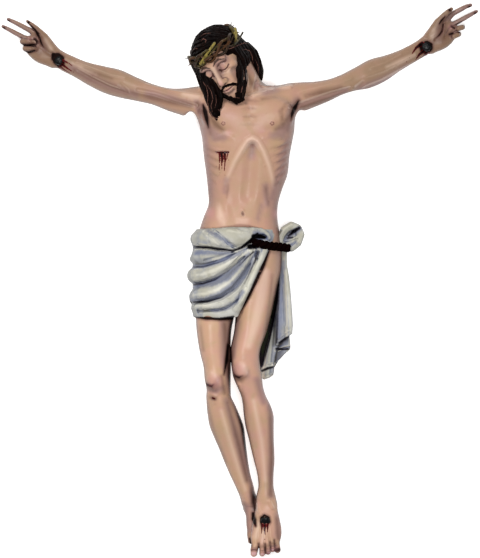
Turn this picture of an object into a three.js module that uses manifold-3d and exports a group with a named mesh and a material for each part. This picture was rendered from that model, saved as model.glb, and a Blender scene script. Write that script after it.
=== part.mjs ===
// A carved and painted crucifix corpus, lying on its back.
//
// Millimetres, +Z up. The front of the figure looks up, +Y runs toward the head and +X toward
// the figure's own left hand. The planed backs of the hands, the seat and the rear heel lie at z = 0.
//
// The figure is a free form: it is described as a field, a function that gives the distance of
// any point from the carved surface. Its pose and proportions are shares of its height, in
// thousandths. The field is meshed once, thinned to a few thousand faces and cut with true sizes.
import * as THREE from 'three';
import { mergeVertices } from 'three/addons/utils/BufferGeometryUtils.js';
import { edgeTable, triTable } from 'three/addons/objects/MarchingCubes.js';
import { ParametricGeometry } from 'three/addons/geometries/ParametricGeometry.js';
import Module from 'manifold-3d';

// Driving dimensions, millimetres
const FIGURE_HEIGHT = 800;
const CARVING_CELL = 2.4;
const CORPUS_FACES = 5700;
const PAINT_DEPTH = 0.75;
const PLANED_DEPTH = 2.4;
const NAIL_HEAD_DIAMETER = 15;
const NAIL_HEAD_RISE = 4.2;
const NAIL_HEAD_EDGE = 1.6;
const NAIL_SHANK_DIAMETER = 5;
const NAIL_SHANK_LENGTH = 10;
const FIT_GAP = 0.4;
const TWIG_DIAMETER = 4.6;
const TWIG_COUNT = 3;
const THORN_LENGTH = 11;
const THORN_DIAMETER = 3.2;
const THORN_COUNT = 11;
const TWIG_SPREAD_OUT = 2.2;
const TWIG_SPREAD_UP = 6.5;
const TWIG_TURNS = 5;
const TWIG_STEPS = 44;
const TWIG_SIDES = 4;
const NAIL_SIDES = 12;
const FINE_WEIGHT = 6;

// Shares of the height, in thousandths
const HEAD_MIDDLE = new THREE.Vector3(-36, 935, 106);
const HEAD_SIZE = 0.99;
const CROWN_MIDDLE = new THREE.Vector3(0, 29, -7);
const CROWN_ACROSS = 45;
const CROWN_ALONG = 57;

// Nails: node, place on the plan in shares of the height, lean toward the head in degrees
const NAILS = [
  ['nail_right_wrist', -343.5, 938, 0],
  ['nail_left_wrist', 354, 964, 0],
  ['nail_feet', 47.6, 68.7, -22],
];

// Colours of the paint, the twigs and the iron
const FLESH_COLOUR = 0xc9a184;
const TWIG_COLOUR = 0x6b4a23;
const IRON_COLOUR = 0x17130f;

const share = FIGURE_HEIGHT / 1000;
const turn = THREE.MathUtils.degToRad;

// Lowest of two distances, with the meeting rounded over a width.
function blend(a, b, width) {
  const h = Math.max(width - Math.abs(a - b), 0) / width;
  return Math.min(a, b) - h * h * width / 4;
}

// The first distance with the second one cut out of it, with a rounded edge.
function cutAway(a, b, width) {
  return -blend(-a, b, width);
}

// A smooth hump: 1 at zero, 0 from one on.
function hump(t) {
  return t >= 1 ? 0 : (1 - t * t) ** 2;
}

function distanceToBox(box, x, y, z) {
  const dx = Math.max(box.min.x - x, x - box.max.x, 0);
  const dy = Math.max(box.min.y - y, y - box.max.y, 0);
  const dz = Math.max(box.min.z - z, z - box.max.z, 0);
  return Math.hypot(dx, dy, dz);
}

// A body along one axis. Each section is [place on the axis, the other centre, z centre, half
// width, half depth]. fullness 2 is an ellipse, and more is squarer.
function loft(axis, fullness, sections) {
  const sorted = [...sections].sort((a, b) => a[0] - b[0]);
  const curve = new THREE.CubicInterpolant(
    Float32Array.from(sorted, (section) => section[0]),
    Float32Array.from(sorted.flatMap((section) => section.slice(1))), 4);
  const start = sorted[0][0];
  const end = sorted[sorted.length - 1][0];
  const table = [];
  for (let place = Math.floor(start); place <= Math.ceil(end) + 1; place += 1) {
    table.push([...curve.evaluate(Math.min(Math.max(place, start), end))]);
  }
  const box = new THREE.Box3();
  table.forEach(([side, depth, halfWidth, halfDepth], index) => {
    const place = Math.floor(start) + index;
    for (const sign of [-1, 1]) {
      const across = side + sign * halfWidth;
      const up = depth + sign * halfDepth;
      box.expandByPoint(axis === 'x' ? new THREE.Vector3(place, across, up) : new THREE.Vector3(across, place, up));
    }
  });
  return {
    box,
    distance(x, y, z) {
      const along = axis === 'x' ? x : y;
      const across = axis === 'x' ? y : x;
      const at = Math.min(Math.max(along, start), end) - Math.floor(start);
      const low = Math.floor(at);
      const part = at - low;
      const [a, b] = [table[low], table[low + 1]];
      const halfWidth = a[2] + (b[2] - a[2]) * part;
      const halfDepth = a[3] + (b[3] - a[3]) * part;
      const u = Math.abs(across - a[0] - (b[0] - a[0]) * part) / halfWidth;
      const v = Math.abs(z - a[1] - (b[1] - a[1]) * part) / halfDepth;
      const around = (u ** fullness + v ** fullness) ** (1 / fullness);
      return Math.max((around - 1) * Math.min(halfWidth, halfDepth), start - along, along - end);
    },
  };
}

// A string of round cones through [x, y, z, radius]. depthScale over 1 flattens it toward the
// front, and ridges give it twisted grooves: how many, their pitch and their depth.
function rod(points, { depthScale = 1, ridges = 0, pitch = 30, groove = 1 } = {}) {
  const box = new THREE.Box3();
  let length = 0;
  const legs = [];
  for (const [x, y, z, radius] of points) {
    box.expandByPoint(new THREE.Vector3(x - radius, y - radius, z - radius / depthScale));
    box.expandByPoint(new THREE.Vector3(x + radius, y + radius, z + radius / depthScale));
  }
  for (let index = 1; index < points.length; index += 1) {
    const [from, to] = [points[index - 1], points[index]];
    const line = new THREE.Vector3(to[0] - from[0], to[1] - from[1], to[2] - from[2]);
    const flat = Math.hypot(line.x, line.y) || 1;
    legs.push({ from, line, spread: to[3] - from[3], length, side: [line.y / flat, -line.x / flat] });
    length += line.length();
  }
  return {
    box: box.expandByScalar(groove),
    distance(x, y, z) {
      let nearest = Infinity;
      for (const { from, line, spread, length: before, side } of legs) {
        const [dx, dy, dz] = [x - from[0], y - from[1], z - from[2]];
        const part = Math.min(Math.max((dx * line.x + dy * line.y + dz * line.z) / line.lengthSq(), 0), 1);
        const [px, py, pz] = [dx - line.x * part, dy - line.y * part, (dz - line.z * part) * depthScale];
        let radius = from[3] + spread * part;
        if (ridges) {
          const angle = Math.atan2(pz, px * side[0] + py * side[1]);
          const phase = 2 * Math.PI * (before + line.length() * part) / pitch;
          radius += groove * Math.cos(ridges * angle + phase);
        }
        nearest = Math.min(nearest, Math.hypot(px, py, pz) - radius);
      }
      return nearest / Math.max(depthScale, 1);
    },
  };
}

// An ellipsoid with its half sizes, turned in the plane of the figure by some degrees.
function ball([cx, cy, cz], [rx, ry, rz], degrees = 0) {
  const [cos, sin] = [Math.cos(turn(degrees)), Math.sin(turn(degrees))];
  const reach = Math.max(rx, ry);
  const centre = new THREE.Vector3(cx, cy, cz);
  const size = degrees ? new THREE.Vector3(reach, reach, rz) : new THREE.Vector3(rx, ry, rz);
  return {
    box: new THREE.Box3().setFromCenterAndSize(centre, size.multiplyScalar(2)),
    distance(x, y, z) {
      const [dx, dy, dz] = [x - cx, y - cy, z - cz];
      const [u, v] = [dx * cos + dy * sin, dy * cos - dx * sin];
      const near = Math.hypot(u / rx, v / ry, dz / rz);
      const slope = Math.hypot(u / (rx * rx), v / (ry * ry), dz / (rz * rz));
      return slope > 0 ? near * (near - 1) / slope : -Math.min(rx, ry, rz);
    },
  };
}

// Several bodies as one, each meeting the next with a rounded hollow.
function join(width, parts) {
  const box = new THREE.Box3();
  parts.forEach((part) => box.union(part.box));
  return {
    box,
    distance(x, y, z) {
      let nearest = Infinity;
      for (const part of parts) {
        if (distanceToBox(part.box, x, y, z) < nearest + width) {
          nearest = blend(nearest, part.distance(x, y, z), width);
        }
      }
      return nearest;
    },
  };
}

function carveOut(body, width, cutters) {
  return {
    box: body.box,
    distance(x, y, z) {
      let value = body.distance(x, y, z);
      for (const cutter of cutters) {
        if (distanceToBox(cutter.box, x, y, z) < width - value) {
          value = cutAway(value, cutter.distance(x, y, z), width);
        }
      }
      return value;
    },
  };
}

// Ridges and grooves along lines seen from the front: { line: [[x, y], ...], width, height }.
// face 1 is the front, -1 the back; they fade out across the depth given by middle.
function relief(body, middle, strokes) {
  const fade = 14;
  const prepared = strokes.map(({ line, width, height, face = 1 }) => {
    const points = line.length > 1 ? line : [line[0], line[0]];
    const box = new THREE.Box2();
    points.forEach(([x, y]) => box.expandByPoint(new THREE.Vector2(x, y)));
    return { points, width, height, face, box: box.expandByScalar(width) };
  });
  return {
    box: body.box.clone().expandByScalar(6),
    distance(x, y, z) {
      const value = body.distance(x, y, z);
      if (Math.abs(value) > 16) return value;
      let rise = 0;
      let dip = 0;
      for (const { points, width, height, face, box } of prepared) {
        if (x < box.min.x || x > box.max.x || y < box.min.y || y > box.max.y) continue;
        const seen = THREE.MathUtils.smoothstep(face * (z - middle), -fade / 2, fade);
        if (seen === 0) continue;
        let nearest = Infinity;
        for (let index = 1; index < points.length; index += 1) {
          const [from, to] = [points[index - 1], points[index]];
          const [lx, ly] = [to[0] - from[0], to[1] - from[1]];
          const square = lx * lx + ly * ly || 1;
          const part = Math.min(Math.max(((x - from[0]) * lx + (y - from[1]) * ly) / square, 0), 1);
          nearest = Math.min(nearest, Math.hypot(x - from[0] - lx * part, y - from[1] - ly * part));
        }
        const change = height * seen * hump(nearest / width);
        rise = Math.max(rise, change);
        dip = Math.min(dip, change);
      }
      return value - rise - dip;
    },
  };
}

// A body described in its own axes, turned, scaled evenly and set in place by a matrix.
function placed(body, matrix) {
  const e = matrix.clone().invert().elements;
  const size = matrix.getMaxScaleOnAxis();
  return {
    box: body.box.clone().applyMatrix4(matrix),
    distance: (x, y, z) => size * body.distance(
      e[0] * x + e[4] * y + e[8] * z + e[12],
      e[1] * x + e[5] * y + e[9] * z + e[13],
      e[2] * x + e[6] * y + e[10] * z + e[14]),
  };
}

// A closed outline in the plane of the figure, given a thickness about a wavy middle sheet.
function sheet(outline, middle, halfThickness) {
  const box = new THREE.Box3();
  outline.forEach(([x, y]) => {
    const z = middle(x, y);
    box.expandByPoint(new THREE.Vector3(x, y, z - 3 * halfThickness));
    box.expandByPoint(new THREE.Vector3(x, y, z + 3 * halfThickness));
  });
  return {
    box,
    distance(x, y, z) {
      let nearest = Infinity;
      let inside = false;
      outline.forEach(([ax, ay], index) => {
        const [bx, by] = outline[(index + 1) % outline.length];
        const [lx, ly] = [bx - ax, by - ay];
        const part = Math.min(Math.max(((x - ax) * lx + (y - ay) * ly) / (lx * lx + ly * ly), 0), 1);
        nearest = Math.min(nearest, Math.hypot(x - ax - lx * part, y - ay - ly * part));
        if ((ay > y) !== (by > y) && x < ax + lx * (y - ay) / ly) inside = !inside;
      });
      const edge = inside ? -nearest : nearest;
      return -blend(-edge, halfThickness - Math.abs(z - middle(x, y)), 4) * 0.8;
    },
  };
}

// Trunk, neck and shoulders, from the pit of the neck down to the crotch
function makeTrunk() {
  const trunk = loft('y', 2.4, [
    [886, 10, 60, 50, 29],
    [868, 13, 60, 76, 42],
    [850, 14, 61, 86, 49],
    [820, 13, 62, 89, 53],
    [788, 13, 62, 86, 53],
    [755, 12, 61, 80, 50],
    [720, 13, 60, 75, 44],
    [690, 9, 60, 68, 39],
    [664, 6, 60, 64, 37],
    [641, 1, 59, 68, 40],
    [605, -2, 57, 76, 47],
    [560, -4, 55, 81, 52],
    [520, -6, 55, 78, 51],
    [478, -9, 55, 70, 46],
  ]);
  const neck = rod([[14, 862, 56, 42], [6, 896, 70, 30], [-6, 925, 82, 27]]);
  const slopes = [
    rod([[4, 886, 60, 20], [-70, 860, 56, 22]]),
    rod([[20, 876, 60, 20], [60, 858, 57, 20], [92, 862, 56, 25]]),
  ];
  const chest = [
    ball([-28, 836, 96], [44, 29, 21], 8),
    ball([58, 836, 95], [43, 29, 21], -8),
  ];
  const blades = [
    ball([-42, 838, 18], [26, 34, 12], -14),
    ball([68, 838, 18], [26, 34, 12], 14),
  ];
  const folds = [
    rod([[-56, 800, 60, 14], [-78, 846, 58, 17]]),
    rod([[80, 800, 60, 15], [98, 850, 58, 17]]),
  ];
  return join(14, [trunk, neck, ...slopes, ...chest, ...folds, ...blades]);
}

// Right and left arm, from inside the shoulder to the wrist
function makeArms() {
  const right = loft('x', 2.1, [
    [-40, 850, 60, 33, 34],
    [-68, 853, 60, 33, 33],
    [-90, 856, 58, 29, 30],
    [-110, 858, 56, 24.5, 27],
    [-136, 863, 52, 20.7, 23],
    [-166, 873, 47, 18.8, 21],
    [-196, 883, 42, 21.7, 22.5],
    [-226, 893, 37, 25.4, 24],
    [-256, 901, 31, 24.5, 22],
    [-286, 912, 25, 20.7, 18.5],
    [-316, 927, 19, 17.9, 15],
    [-338, 938, 15.5, 17.4, 12.8],
    [-354, 948, 13, 17, 11.5],
  ]);
  const left = loft('x', 2.1, [
    [62, 852, 60, 31, 34],
    [78, 857, 59, 31, 32],
    [94, 862, 58, 30, 31],
    [112, 866, 56, 28, 27],
    [139, 872, 52, 23.5, 23.5],
    [169, 881, 46, 19.8, 21],
    [192, 891, 42, 18.6, 21],
    [215, 901, 38, 20.7, 22.5],
    [245, 912, 33, 26, 24],
    [275, 923, 27, 23.5, 21],
    [305, 939, 21, 18.8, 16],
    [328, 952, 17, 17.6, 13.2],
    [354, 968, 13, 18, 11.5],
  ]);
  return [right, left];
}

// Thigh, knee, calf and shin of each leg
function makeLegs() {
  const right = loft('y', 2.1, [
    [510, -42, 54, 40, 46],
    [474, -45, 60, 38, 43],
    [427, -49, 73, 32, 37],
    [381, -46, 88, 27.5, 32],
    [359, -43, 95, 24.8, 29],
    [336, -42, 101, 23.6, 27],
    [314, -40, 102, 21.8, 25.5],
    [302, -40, 99, 22.6, 25],
    [291, -37, 95, 25, 27],
    [268, -31, 86, 29, 30],
    [246, -25, 78, 31, 30],
    [223, -19, 70, 28, 27],
    [201, -13, 63, 24.5, 23.5],
    [178, -7, 57, 21.5, 20.5],
    [155, 0, 51, 18.6, 18],
    [133, 8, 46, 16.5, 17],
    [112, 15, 40, 14.5, 18],
    [98, 20, 34, 15, 18],
  ]);
  const left = loft('y', 2.1, [
    [510, 33, 56, 36, 45],
    [474, 28, 64, 34, 42],
    [427, 20, 81, 30, 36],
    [381, 9, 100, 26.6, 30],
    [359, 11, 108, 26, 28],
    [336, 15, 112, 25.6, 26.5],
    [325, 18, 111, 23.8, 25.5],
    [302, 26, 106, 22.6, 25],
    [291, 30, 103, 24.4, 26.5],
    [268, 35, 97, 27, 28],
    [246, 37, 91, 25.6, 27],
    [223, 40, 86, 22.7, 24],
    [201, 43, 82, 20.7, 21],
    [178, 46, 79, 18, 18.5],
    [155, 48, 76, 14.4, 16.5],
    [133, 49, 74, 13.4, 17],
    [112, 49, 72, 16, 18],
    [98, 50, 70, 17.5, 18],
  ]);
  const kneecaps = [
    ball([-43, 331, 119], [13, 17, 11]),
    ball([13, 350, 127], [13, 17, 11]),
  ];
  return [right, left, ...kneecaps];
}

// Bones of the palm, the ball of the thumb and five fingers, each a string of [x, y, z, radius]
function makeHands() {
  const rightBones = [
    [[-349, 946, 12, 11], [-386, 989, 13, 7.6]],
    [[-351, 942, 12, 11], [-395, 977, 12, 7.6]],
    [[-354, 938, 12, 10], [-398, 969, 11, 7.6]],
    [[-360, 938, 11, 8.5], [-395, 957, 11, 7.4]],
  ];
  const rightFingers = [
    [[-386, 989, 14, 6.2], [-401, 997, 15, 4.9], [-420, 1007, 18, 4.2], [-430, 1012, 18, 3.9], [-439, 1016.5, 16, 3.4]],
    [[-395, 977, 13, 6], [-411, 982.5, 14, 4.8], [-428, 991.5, 17, 4.2], [-440, 998, 17, 3.9], [-448, 1002, 15, 3.4]],
    [[-398, 969, 12, 6.2], [-414, 973, 18, 5.2], [-413, 974, 27, 4.9], [-402, 974, 33, 4.6], [-392, 974, 30, 4]],
    [[-395, 957, 12, 6.2], [-409, 961, 17, 5], [-408, 962, 25, 4.6], [-398, 962, 30, 4.3], [-388, 962, 27, 3.8]],
    [[-360, 960, 17, 11], [-371, 982, 23, 7.6], [-386, 998, 27, 5.4], [-394, 1005, 28, 4.2], [-401, 1011, 28, 2.8]],
  ];
  const leftBones = [
    [[354, 971, 12, 10.5], [390, 1015, 13, 7.6]],
    [[356, 968, 12, 10.5], [396, 1003, 12, 7.6]],
    [[359, 965, 12, 10], [398, 993, 11, 7.4]],
    [[365, 963, 11, 8.5], [397, 983, 11, 7.4]],
  ];
  const leftFingers = [
    [[390, 1015, 14, 6.4], [405, 1028, 15, 4.8], [422, 1037, 18, 4.2], [430, 1041, 18, 3.9], [438, 1043.5, 16, 3.4]],
    [[396, 1003, 13, 6], [409, 1009.5, 14, 4.7], [428, 1020, 17, 4.1], [440, 1026.5, 17, 3.8], [448.5, 1031, 15, 3.3]],
    [[398, 993, 12, 6], [413, 999, 17, 4.9], [423.5, 1001, 24, 4.7], [420, 1000, 31, 4.4], [414, 998, 33, 3.9]],
    [[397, 983, 12, 6.2], [410, 986, 15, 5.2], [416, 988, 22, 4.7], [413, 986, 29, 4.4], [407, 984, 31, 3.9]],
    [[363, 985, 17, 11], [375, 1009, 23, 7.4], [387, 1023, 27, 5.4], [394, 1030, 28, 4.3], [400, 1035, 28, 3]],
  ];
  const rightPalm = join(11, [
    ...rightBones.map((bone) => rod(bone)),
    ball([-369, 969, 17], [12, 22, 11], 34),
    ball([-382, 947, 14], [18, 10, 11], -32),
  ]);
  const leftPalm = join(11, [
    ...leftBones.map((bone) => rod(bone)),
    ball([373, 993, 17], [12, 22, 11], -32),
    ball([386, 973, 14], [18, 10, 11], 32),
  ]);
  return [
    join(5, [rightPalm, ...rightFingers.map((finger) => rod(finger))]),
    join(5, [leftPalm, ...leftFingers.map((finger) => rod(finger))]),
  ];
}

// The rear foot is the right one; the left foot lies over its instep
function makeFeet() {
  const rear = join(9, [
    loft('y', 2.2, [
      [112, 17, 40, 14, 19],
      [92, 22, 34, 15, 20],
      [74, 28, 41, 16, 16],
      [56, 30.5, 50, 17, 13],
      [40, 33.5, 58, 17, 10],
      [28, 36, 62, 16, 8],
    ]),
    ball([22, 92, 17], [15, 20, 18]),
    rod([[25.5, 40, 60, 7.5], [25, 30, 63, 6]]),
  ]);
  const front = loft('y', 2.2, [
    [122, 49, 74, 15, 18],
    [104, 50, 73, 18, 19],
    [88, 50, 76, 20, 17.5],
    [70, 50, 82, 23.5, 15],
    [54, 50, 87, 26, 13],
    [42, 49.5, 90, 26, 11],
    [30, 48, 92, 24, 9],
    [24, 47, 93, 21, 7.5],
  ]);
  const toes = [
    [[31, 40, 92, 9], [28, 22, 95, 7.6], [27, 5.5, 97, 6.8]],
    [[42, 34, 95, 6.4], [43, 18, 100, 5], [43.5, 3.5, 96, 4.8]],
    [[52, 34, 95, 6], [54, 18, 99, 4.9], [55, 4, 95, 4.6]],
    [[61, 34, 93, 5.6], [62, 24, 96, 4.7], [62, 11, 92, 4.5]],
    [[68, 38, 89, 5.8], [70, 26, 91, 5], [70, 11, 86, 5]],
  ];
  return [rear, join(3.5, [join(8, [front, ball([50, 100, 58], [16, 19, 15])]), ...toes.map((toe) => rod(toe))])];
}

// Rib cage, belly, collar bones, spine and knees, as ridges and grooves over the flesh
function bodyStrokes() {
  const strokes = [
    { line: [[15, 866], [17, 800]], width: 10, height: -3.4 },
    { line: [[8, 803], [-24, 799], [-54, 810], [-74, 834]], width: 10, height: -4 },
    { line: [[28, 803], [58, 799], [84, 812], [100, 836]], width: 10, height: -4 },
    { line: [[-19, 714], [-6, 742], [10, 772], [24, 787], [38, 768], [52, 738], [63, 708]], width: 13, height: 3.6 },
    { line: [[22, 758], [16, 722], [10, 690]], width: 26, height: -5 },
    { line: [[14, 770], [9, 700], [6.5, 655]], width: 7, height: -2.2 },
    { line: [[-24, 700], [-28, 660], [-20, 630]], width: 12, height: -2.6 },
    { line: [[46, 700], [40, 660], [30, 632]], width: 12, height: -2.6 },
    { line: [[6.4, 645]], width: 6, height: -6 },
    { line: [[-46, 763], [-20, 757]], width: 4.5, height: -5 },
    { line: [[15, 874]], width: 12, height: -6 },
    { line: [[6, 868], [-34, 876], [-78, 880]], width: 7, height: 3.4 },
    { line: [[24, 868], [60, 879], [98, 886]], width: 7, height: 3.4 },
    { line: [[16, 872], [12, 900], [10, 918]], width: 8, height: 3 },
    { line: [[-30.5, 814.5]], width: 4, height: 2.2 },
    { line: [[61, 814.5]], width: 4, height: 2.2 },
    { line: [[13, 866], [12, 760], [8, 640]], width: 14, height: -5, face: -1 },
    { line: [[-38, 300], [-20, 240], [4, 150]], width: 9, height: 2.4 },
    { line: [[28, 306], [38, 250], [47, 150]], width: 9, height: 2.4 },
    { line: [[-230, 884], [-222, 902]], width: 7, height: -2.2 },
    { line: [[222, 890], [212, 912]], width: 7, height: -2.2 },
    { line: [[-104, 852], [-160, 868], [-200, 880]], width: 8, height: -2.4 },
    { line: [[118, 858], [170, 874], [200, 888]], width: 8, height: -2.4 },
  ];
  const ribs = 5;
  for (let rib = 0; rib < ribs; rib += 1) {
    const y = 784 - 20 * rib;
    const inset = 5 * rib;
    strokes.push({ line: [[98 - inset, y + 12], [84 - inset, y], [60 - inset / 3, y - 10]], width: 9, height: 2 });
    strokes.push({ line: [[-70 + inset, y + 12], [-56 + inset, y], [-36 + inset / 3, y - 10]], width: 9, height: 1.4 });
  }
  return strokes;
}

// Head, in its own axes: x to its left, y up, z out of the face, 132 from chin to crown
function makeHead() {
  const skull = join(18, [
    ball([0, 8, -8], [40, 46, 52]),
    ball([0, -16, 10], [34, 48, 40]),
    ball([0, -42, 20], [26, 24, 30]),
  ]);
  const features = [
    ball([0, 12, 42], [30, 6.5, 9]),
    rod([[0, 11, 48, 4.6], [0, -8, 55, 4.8], [0, -22, 60, 6.2]]),
    ball([-7, -24, 53], [4.6, 4.6, 6]),
    ball([7, -24, 53], [4.6, 4.6, 6]),
    ball([-25, -9, 33], [11, 9, 10]),
    ball([25, -9, 33], [11, 9, 10]),
    ball([0, -37, 45], [17, 13, 11]),
    rod([[-11, -39, 49, 2.6], [0, -36.5, 55, 3], [11, -39, 49, 2.6]]),
    rod([[-9, -43, 49, 2.8], [0, -44, 54, 3.4], [9, -43, 49, 2.8]]),
    ball([0, -57, 42], [12, 10, 11]),
  ];
  const sockets = [ball([-17, 2, 52], [13, 8, 10]), ball([17, 2, 52], [13, 8, 10])];
  const lids = [ball([-17, 0, 36], [12, 10, 11]), ball([17, 0, 36], [12, 10, 11])];
  const face = join(2.5, [carveOut(join(6, [skull, ...features]), 6, sockets), ...lids]);
  const beard = join(4, [
    rod([[-38, 4, 0, 6], [-36, -18, 6, 7], [-30, -44, 20, 8.5], [-14, -62, 40, 9], [-5, -69, 45, 7], [-6, -76, 44, 4]],
      { ridges: 3, pitch: 26, groove: 1.4 }),
    rod([[38, 4, 0, 6], [36, -18, 6, 7], [30, -44, 20, 8.5], [14, -62, 40, 9], [5, -69, 45, 7], [6, -76, 44, 4]],
      { ridges: 3, pitch: 26, groove: 1.4 }),
    rod([[-1, -31, 58, 2.8], [-12, -35, 54, 3.4], [-20, -46, 45, 2.8]]),
    rod([[1, -31, 58, 2.8], [12, -35, 54, 3.4], [20, -46, 45, 2.8]]),
  ]);
  return [face, beard];
}

// Hair over the skull, in the axes of the head: waves that fall from a middle parting
function makeCap() {
  const shell = carveOut(ball([0, 12, -9], [46, 51, 58]), 6, [ball([0, -24, 57], [35, 62, 46])]);
  const waves = [];
  for (const side of [-1, 1]) {
    for (let wave = 0; wave < 6; wave += 1) {
      const back = 26 - 15 * wave;
      const out = 42 - 0.8 * wave * wave;
      waves.push(rod([
        [side * 4, 55 - Math.abs(back) * 0.22, back * 0.9 - 4, 5.5],
        [side * out * 0.7, 45 - wave, back * 0.95 - 8, 6.5],
        [side * (out + 1), 22, back - 13, 7],
        [side * out, -8, back - 20, 7],
        [side * (out - 5), -30, back * 0.8 - 24, 6],
      ], { ridges: 4, pitch: 60, groove: 1.2 }));
    }
  }
  return join(4, [shell, ...waves]);
}

// Locks that hang clear of the head: over the right breast, behind the neck and on the back
function makeLocks() {
  const breast = [
    [[-86, 944, 112, 9], [-74, 914, 120, 8.5], [-61.5, 888, 120, 8.5], [-53, 862, 118, 9.5], [-49, 838, 115, 8], [-43, 824, 112, 5]],
    [[-76, 926, 130, 6], [-63, 900, 131, 7], [-50, 880, 129, 8], [-42, 860, 125, 8], [-40, 840, 119, 7], [-36, 828, 114, 4.5]],
    [[-56, 888, 118, 6], [-41, 872, 120, 7], [-32, 862, 120, 6], [-36, 846, 116, 5]],
    [[-82, 928, 98, 9], [-68, 898, 102, 11], [-56, 870, 102, 11], [-48, 844, 104, 8]],
  ];
  const nape = [
    [[4, 964, 92, 8], [17, 952, 86, 10], [27, 934, 76, 11], [33, 914, 66, 10], [35, 902, 58, 8]],
    [[-8, 956, 70, 11], [10, 930, 58, 12], [20, 902, 46, 11], [20, 874, 30, 8]],
    [[-30, 946, 60, 12], [-14, 916, 50, 13], [-6, 888, 36, 12], [-2, 862, 22, 8]],
    [[-56, 940, 70, 12], [-42, 908, 60, 13], [-32, 880, 44, 12], [-26, 856, 24, 8]],
  ];
  return join(4, [...breast, ...nape].map((lock) => rod(lock, { ridges: 3, pitch: 46, groove: 1.5 })));
}

// Loincloth: a wrap round the hips with a rolled top, swags from the left hip, a bow and its end
function makeCloth() {
  const slant = { through: [52.7, 577], across: [0.908, -0.42], depth: 46 };
  const wrap = loft('y', 2.3, [
    [616, -5, 57, 79, 54],
    [590, -6, 57, 83, 57],
    [545, -6.5, 57, 84, 58],
    [500, -8, 57, 82, 58],
    [465, -11, 58, 79, 56],
    [453, -13, 58, 75, 54],
  ]);
  const opened = {
    box: wrap.box,
    distance(x, y, z) {
      const beyond = (x - slant.through[0]) * slant.across[0] + (y - slant.through[1]) * slant.across[1];
      return cutAway(wrap.distance(x, y, z), Math.max(-beyond, slant.depth - z), 4);
    },
  };
  const gather = [28, 579];
  const swags = [
    { line: [[-96, 558], [-60, 566], [-20, 575], gather], width: 13, height: 4.5 },
    { line: [[-98, 530], [-60, 533], [-34, 545], [-8, 560], gather], width: 11, height: 7 },
    { line: [[-95, 491], [-54, 495], [-30, 506], [-12, 522], [4, 542], gather], width: 10, height: 7 },
    { line: [[-93, 473], [-60, 475], [-30, 478], [-8, 488], [6, 502], [18, 530]], width: 9, height: 6 },
    { line: [[-88, 458], [-60, 456], [-30, 455], [-8, 462]], width: 8, height: 4 },
    { line: [[42, 575], [36, 556], [20, 520], [0, 480], [-6, 462]], width: 7, height: 5 },
    { line: [[-92, 515], [-60, 513], [-40, 523], [-20, 538], [6, 560]], width: 8, height: -5 },
    { line: [[-90, 481], [-54, 483], [-30, 492], [-10, 508], [10, 534]], width: 7, height: -5 },
  ];
  const backSwags = 4;
  for (let swag = 0; swag < backSwags; swag += 1) {
    const height = 560 - 27 * swag;
    swags.push({ line: [[-92, height], [-50, height - 12], [0, height - 8], [40, height + 8], [78, height + 24]],
      width: 12, height: 4.5, face: -1 });
  }
  const roll = join(6, [
    rod([[-79, 600, 62, 12], [-64, 602, 88, 14], [-36, 600, 98, 17], [-22, 596, 100, 15]], { depthScale: 1.3 }),
    rod([[-34, 604, 96, 14], [-8, 603, 100, 19], [12, 605, 98, 16], [30, 613, 92, 9], [47, 612, 88, 5]], { depthScale: 1.4 }),
    rod([[-79, 600, 60, 12], [-68, 598, 22, 13], [-20, 596, 14, 13], [40, 596, 14, 13], [70, 594, 30, 12], [78, 590, 52, 10]]),
    rod([[47, 612, 88, 4], [54, 604, 86, 4.4], [50, 598, 88, 3.6]]),
  ]);
  const rope = rod([[14, 590, 100, 8], [40, 586, 100, 8], [60, 583, 92, 8], [76, 582, 76, 8], [90, 581, 62, 7.5]],
    { ridges: 2, pitch: 20, groove: 1.5 });
  const bow = carveOut(join(4, [
    ball([96, 603, 60], [21, 25, 11], 20),
    rod([[80, 588, 62, 7], [79, 604, 64, 6.5], [86, 618, 66, 6.5], [99, 624, 66, 6.5], [110, 618, 64, 6.5],
      [113, 606, 62, 6.5], [107.5, 591, 62, 7], [96, 584, 62, 7], [84, 585, 62, 7]]),
  ]), 3, [rod([[89, 598, 76, 3], [99, 609, 78, 7], [107, 617, 80, 8]])]);
  const pleats = (x, y) => {
    const down = 583 - y;
    const right = hump(Math.abs(x - 84 - down * 0.05) / 13);
    const left = hump(Math.abs(x - 66 + down * 0.06) / 11);
    return 56 - down * 0.02 + 9 * right + 6 * left + 1.5 * Math.sin(down * 0.07 + x * 0.1);
  };
  const end = sheet([
    [72, 586], [82, 582], [84, 568], [87, 551], [91.5, 524], [94.5, 494], [97.5, 457], [97.5, 419], [92.5, 413], [95, 390],
    [83, 374],
    [66, 363], [65.5, 344], [58, 335], [44, 331.5], [36, 337], [26, 376], [30, 430], [44, 490], [56, 545],
  ], pleats, 6);
  return [
    join(6, [relief(opened, 42, swags), roll]),
    rope,
    join(5, [bow, end]),
  ];
}

// Where the head sits: its middle, its lean to the right shoulder, its nod, its turn and its size
const HEAD_PLACE = new THREE.Matrix4().makeTranslation(HEAD_MIDDLE)
  .multiply(new THREE.Matrix4().makeRotationZ(turn(38)))
  .multiply(new THREE.Matrix4().makeRotationX(turn(17)))
  .multiply(new THREE.Matrix4().makeRotationY(turn(-27)))
  .multiply(new THREE.Matrix4().makeScale(HEAD_SIZE, HEAD_SIZE, HEAD_SIZE));

function makeFigure() {
  const body = relief(join(10, [makeTrunk(), ...makeArms(), ...makeLegs()]), 62, bodyStrokes());
  const flesh = join(6, [body, ...makeHands(), ...makeFeet()]);
  const [face, beard] = makeHead();
  const head = join(4, [face, beard, makeCap()]);
  const carving = join(3, [join(8, [flesh, placed(head, HEAD_PLACE)]), makeLocks(), ...makeCloth()]);
  return {
    box: carving.box.clone().expandByScalar(PAINT_DEPTH),
    distance: (x, y, z) => carving.distance(x, y, z) - PAINT_DEPTH / share,
  };
}

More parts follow.
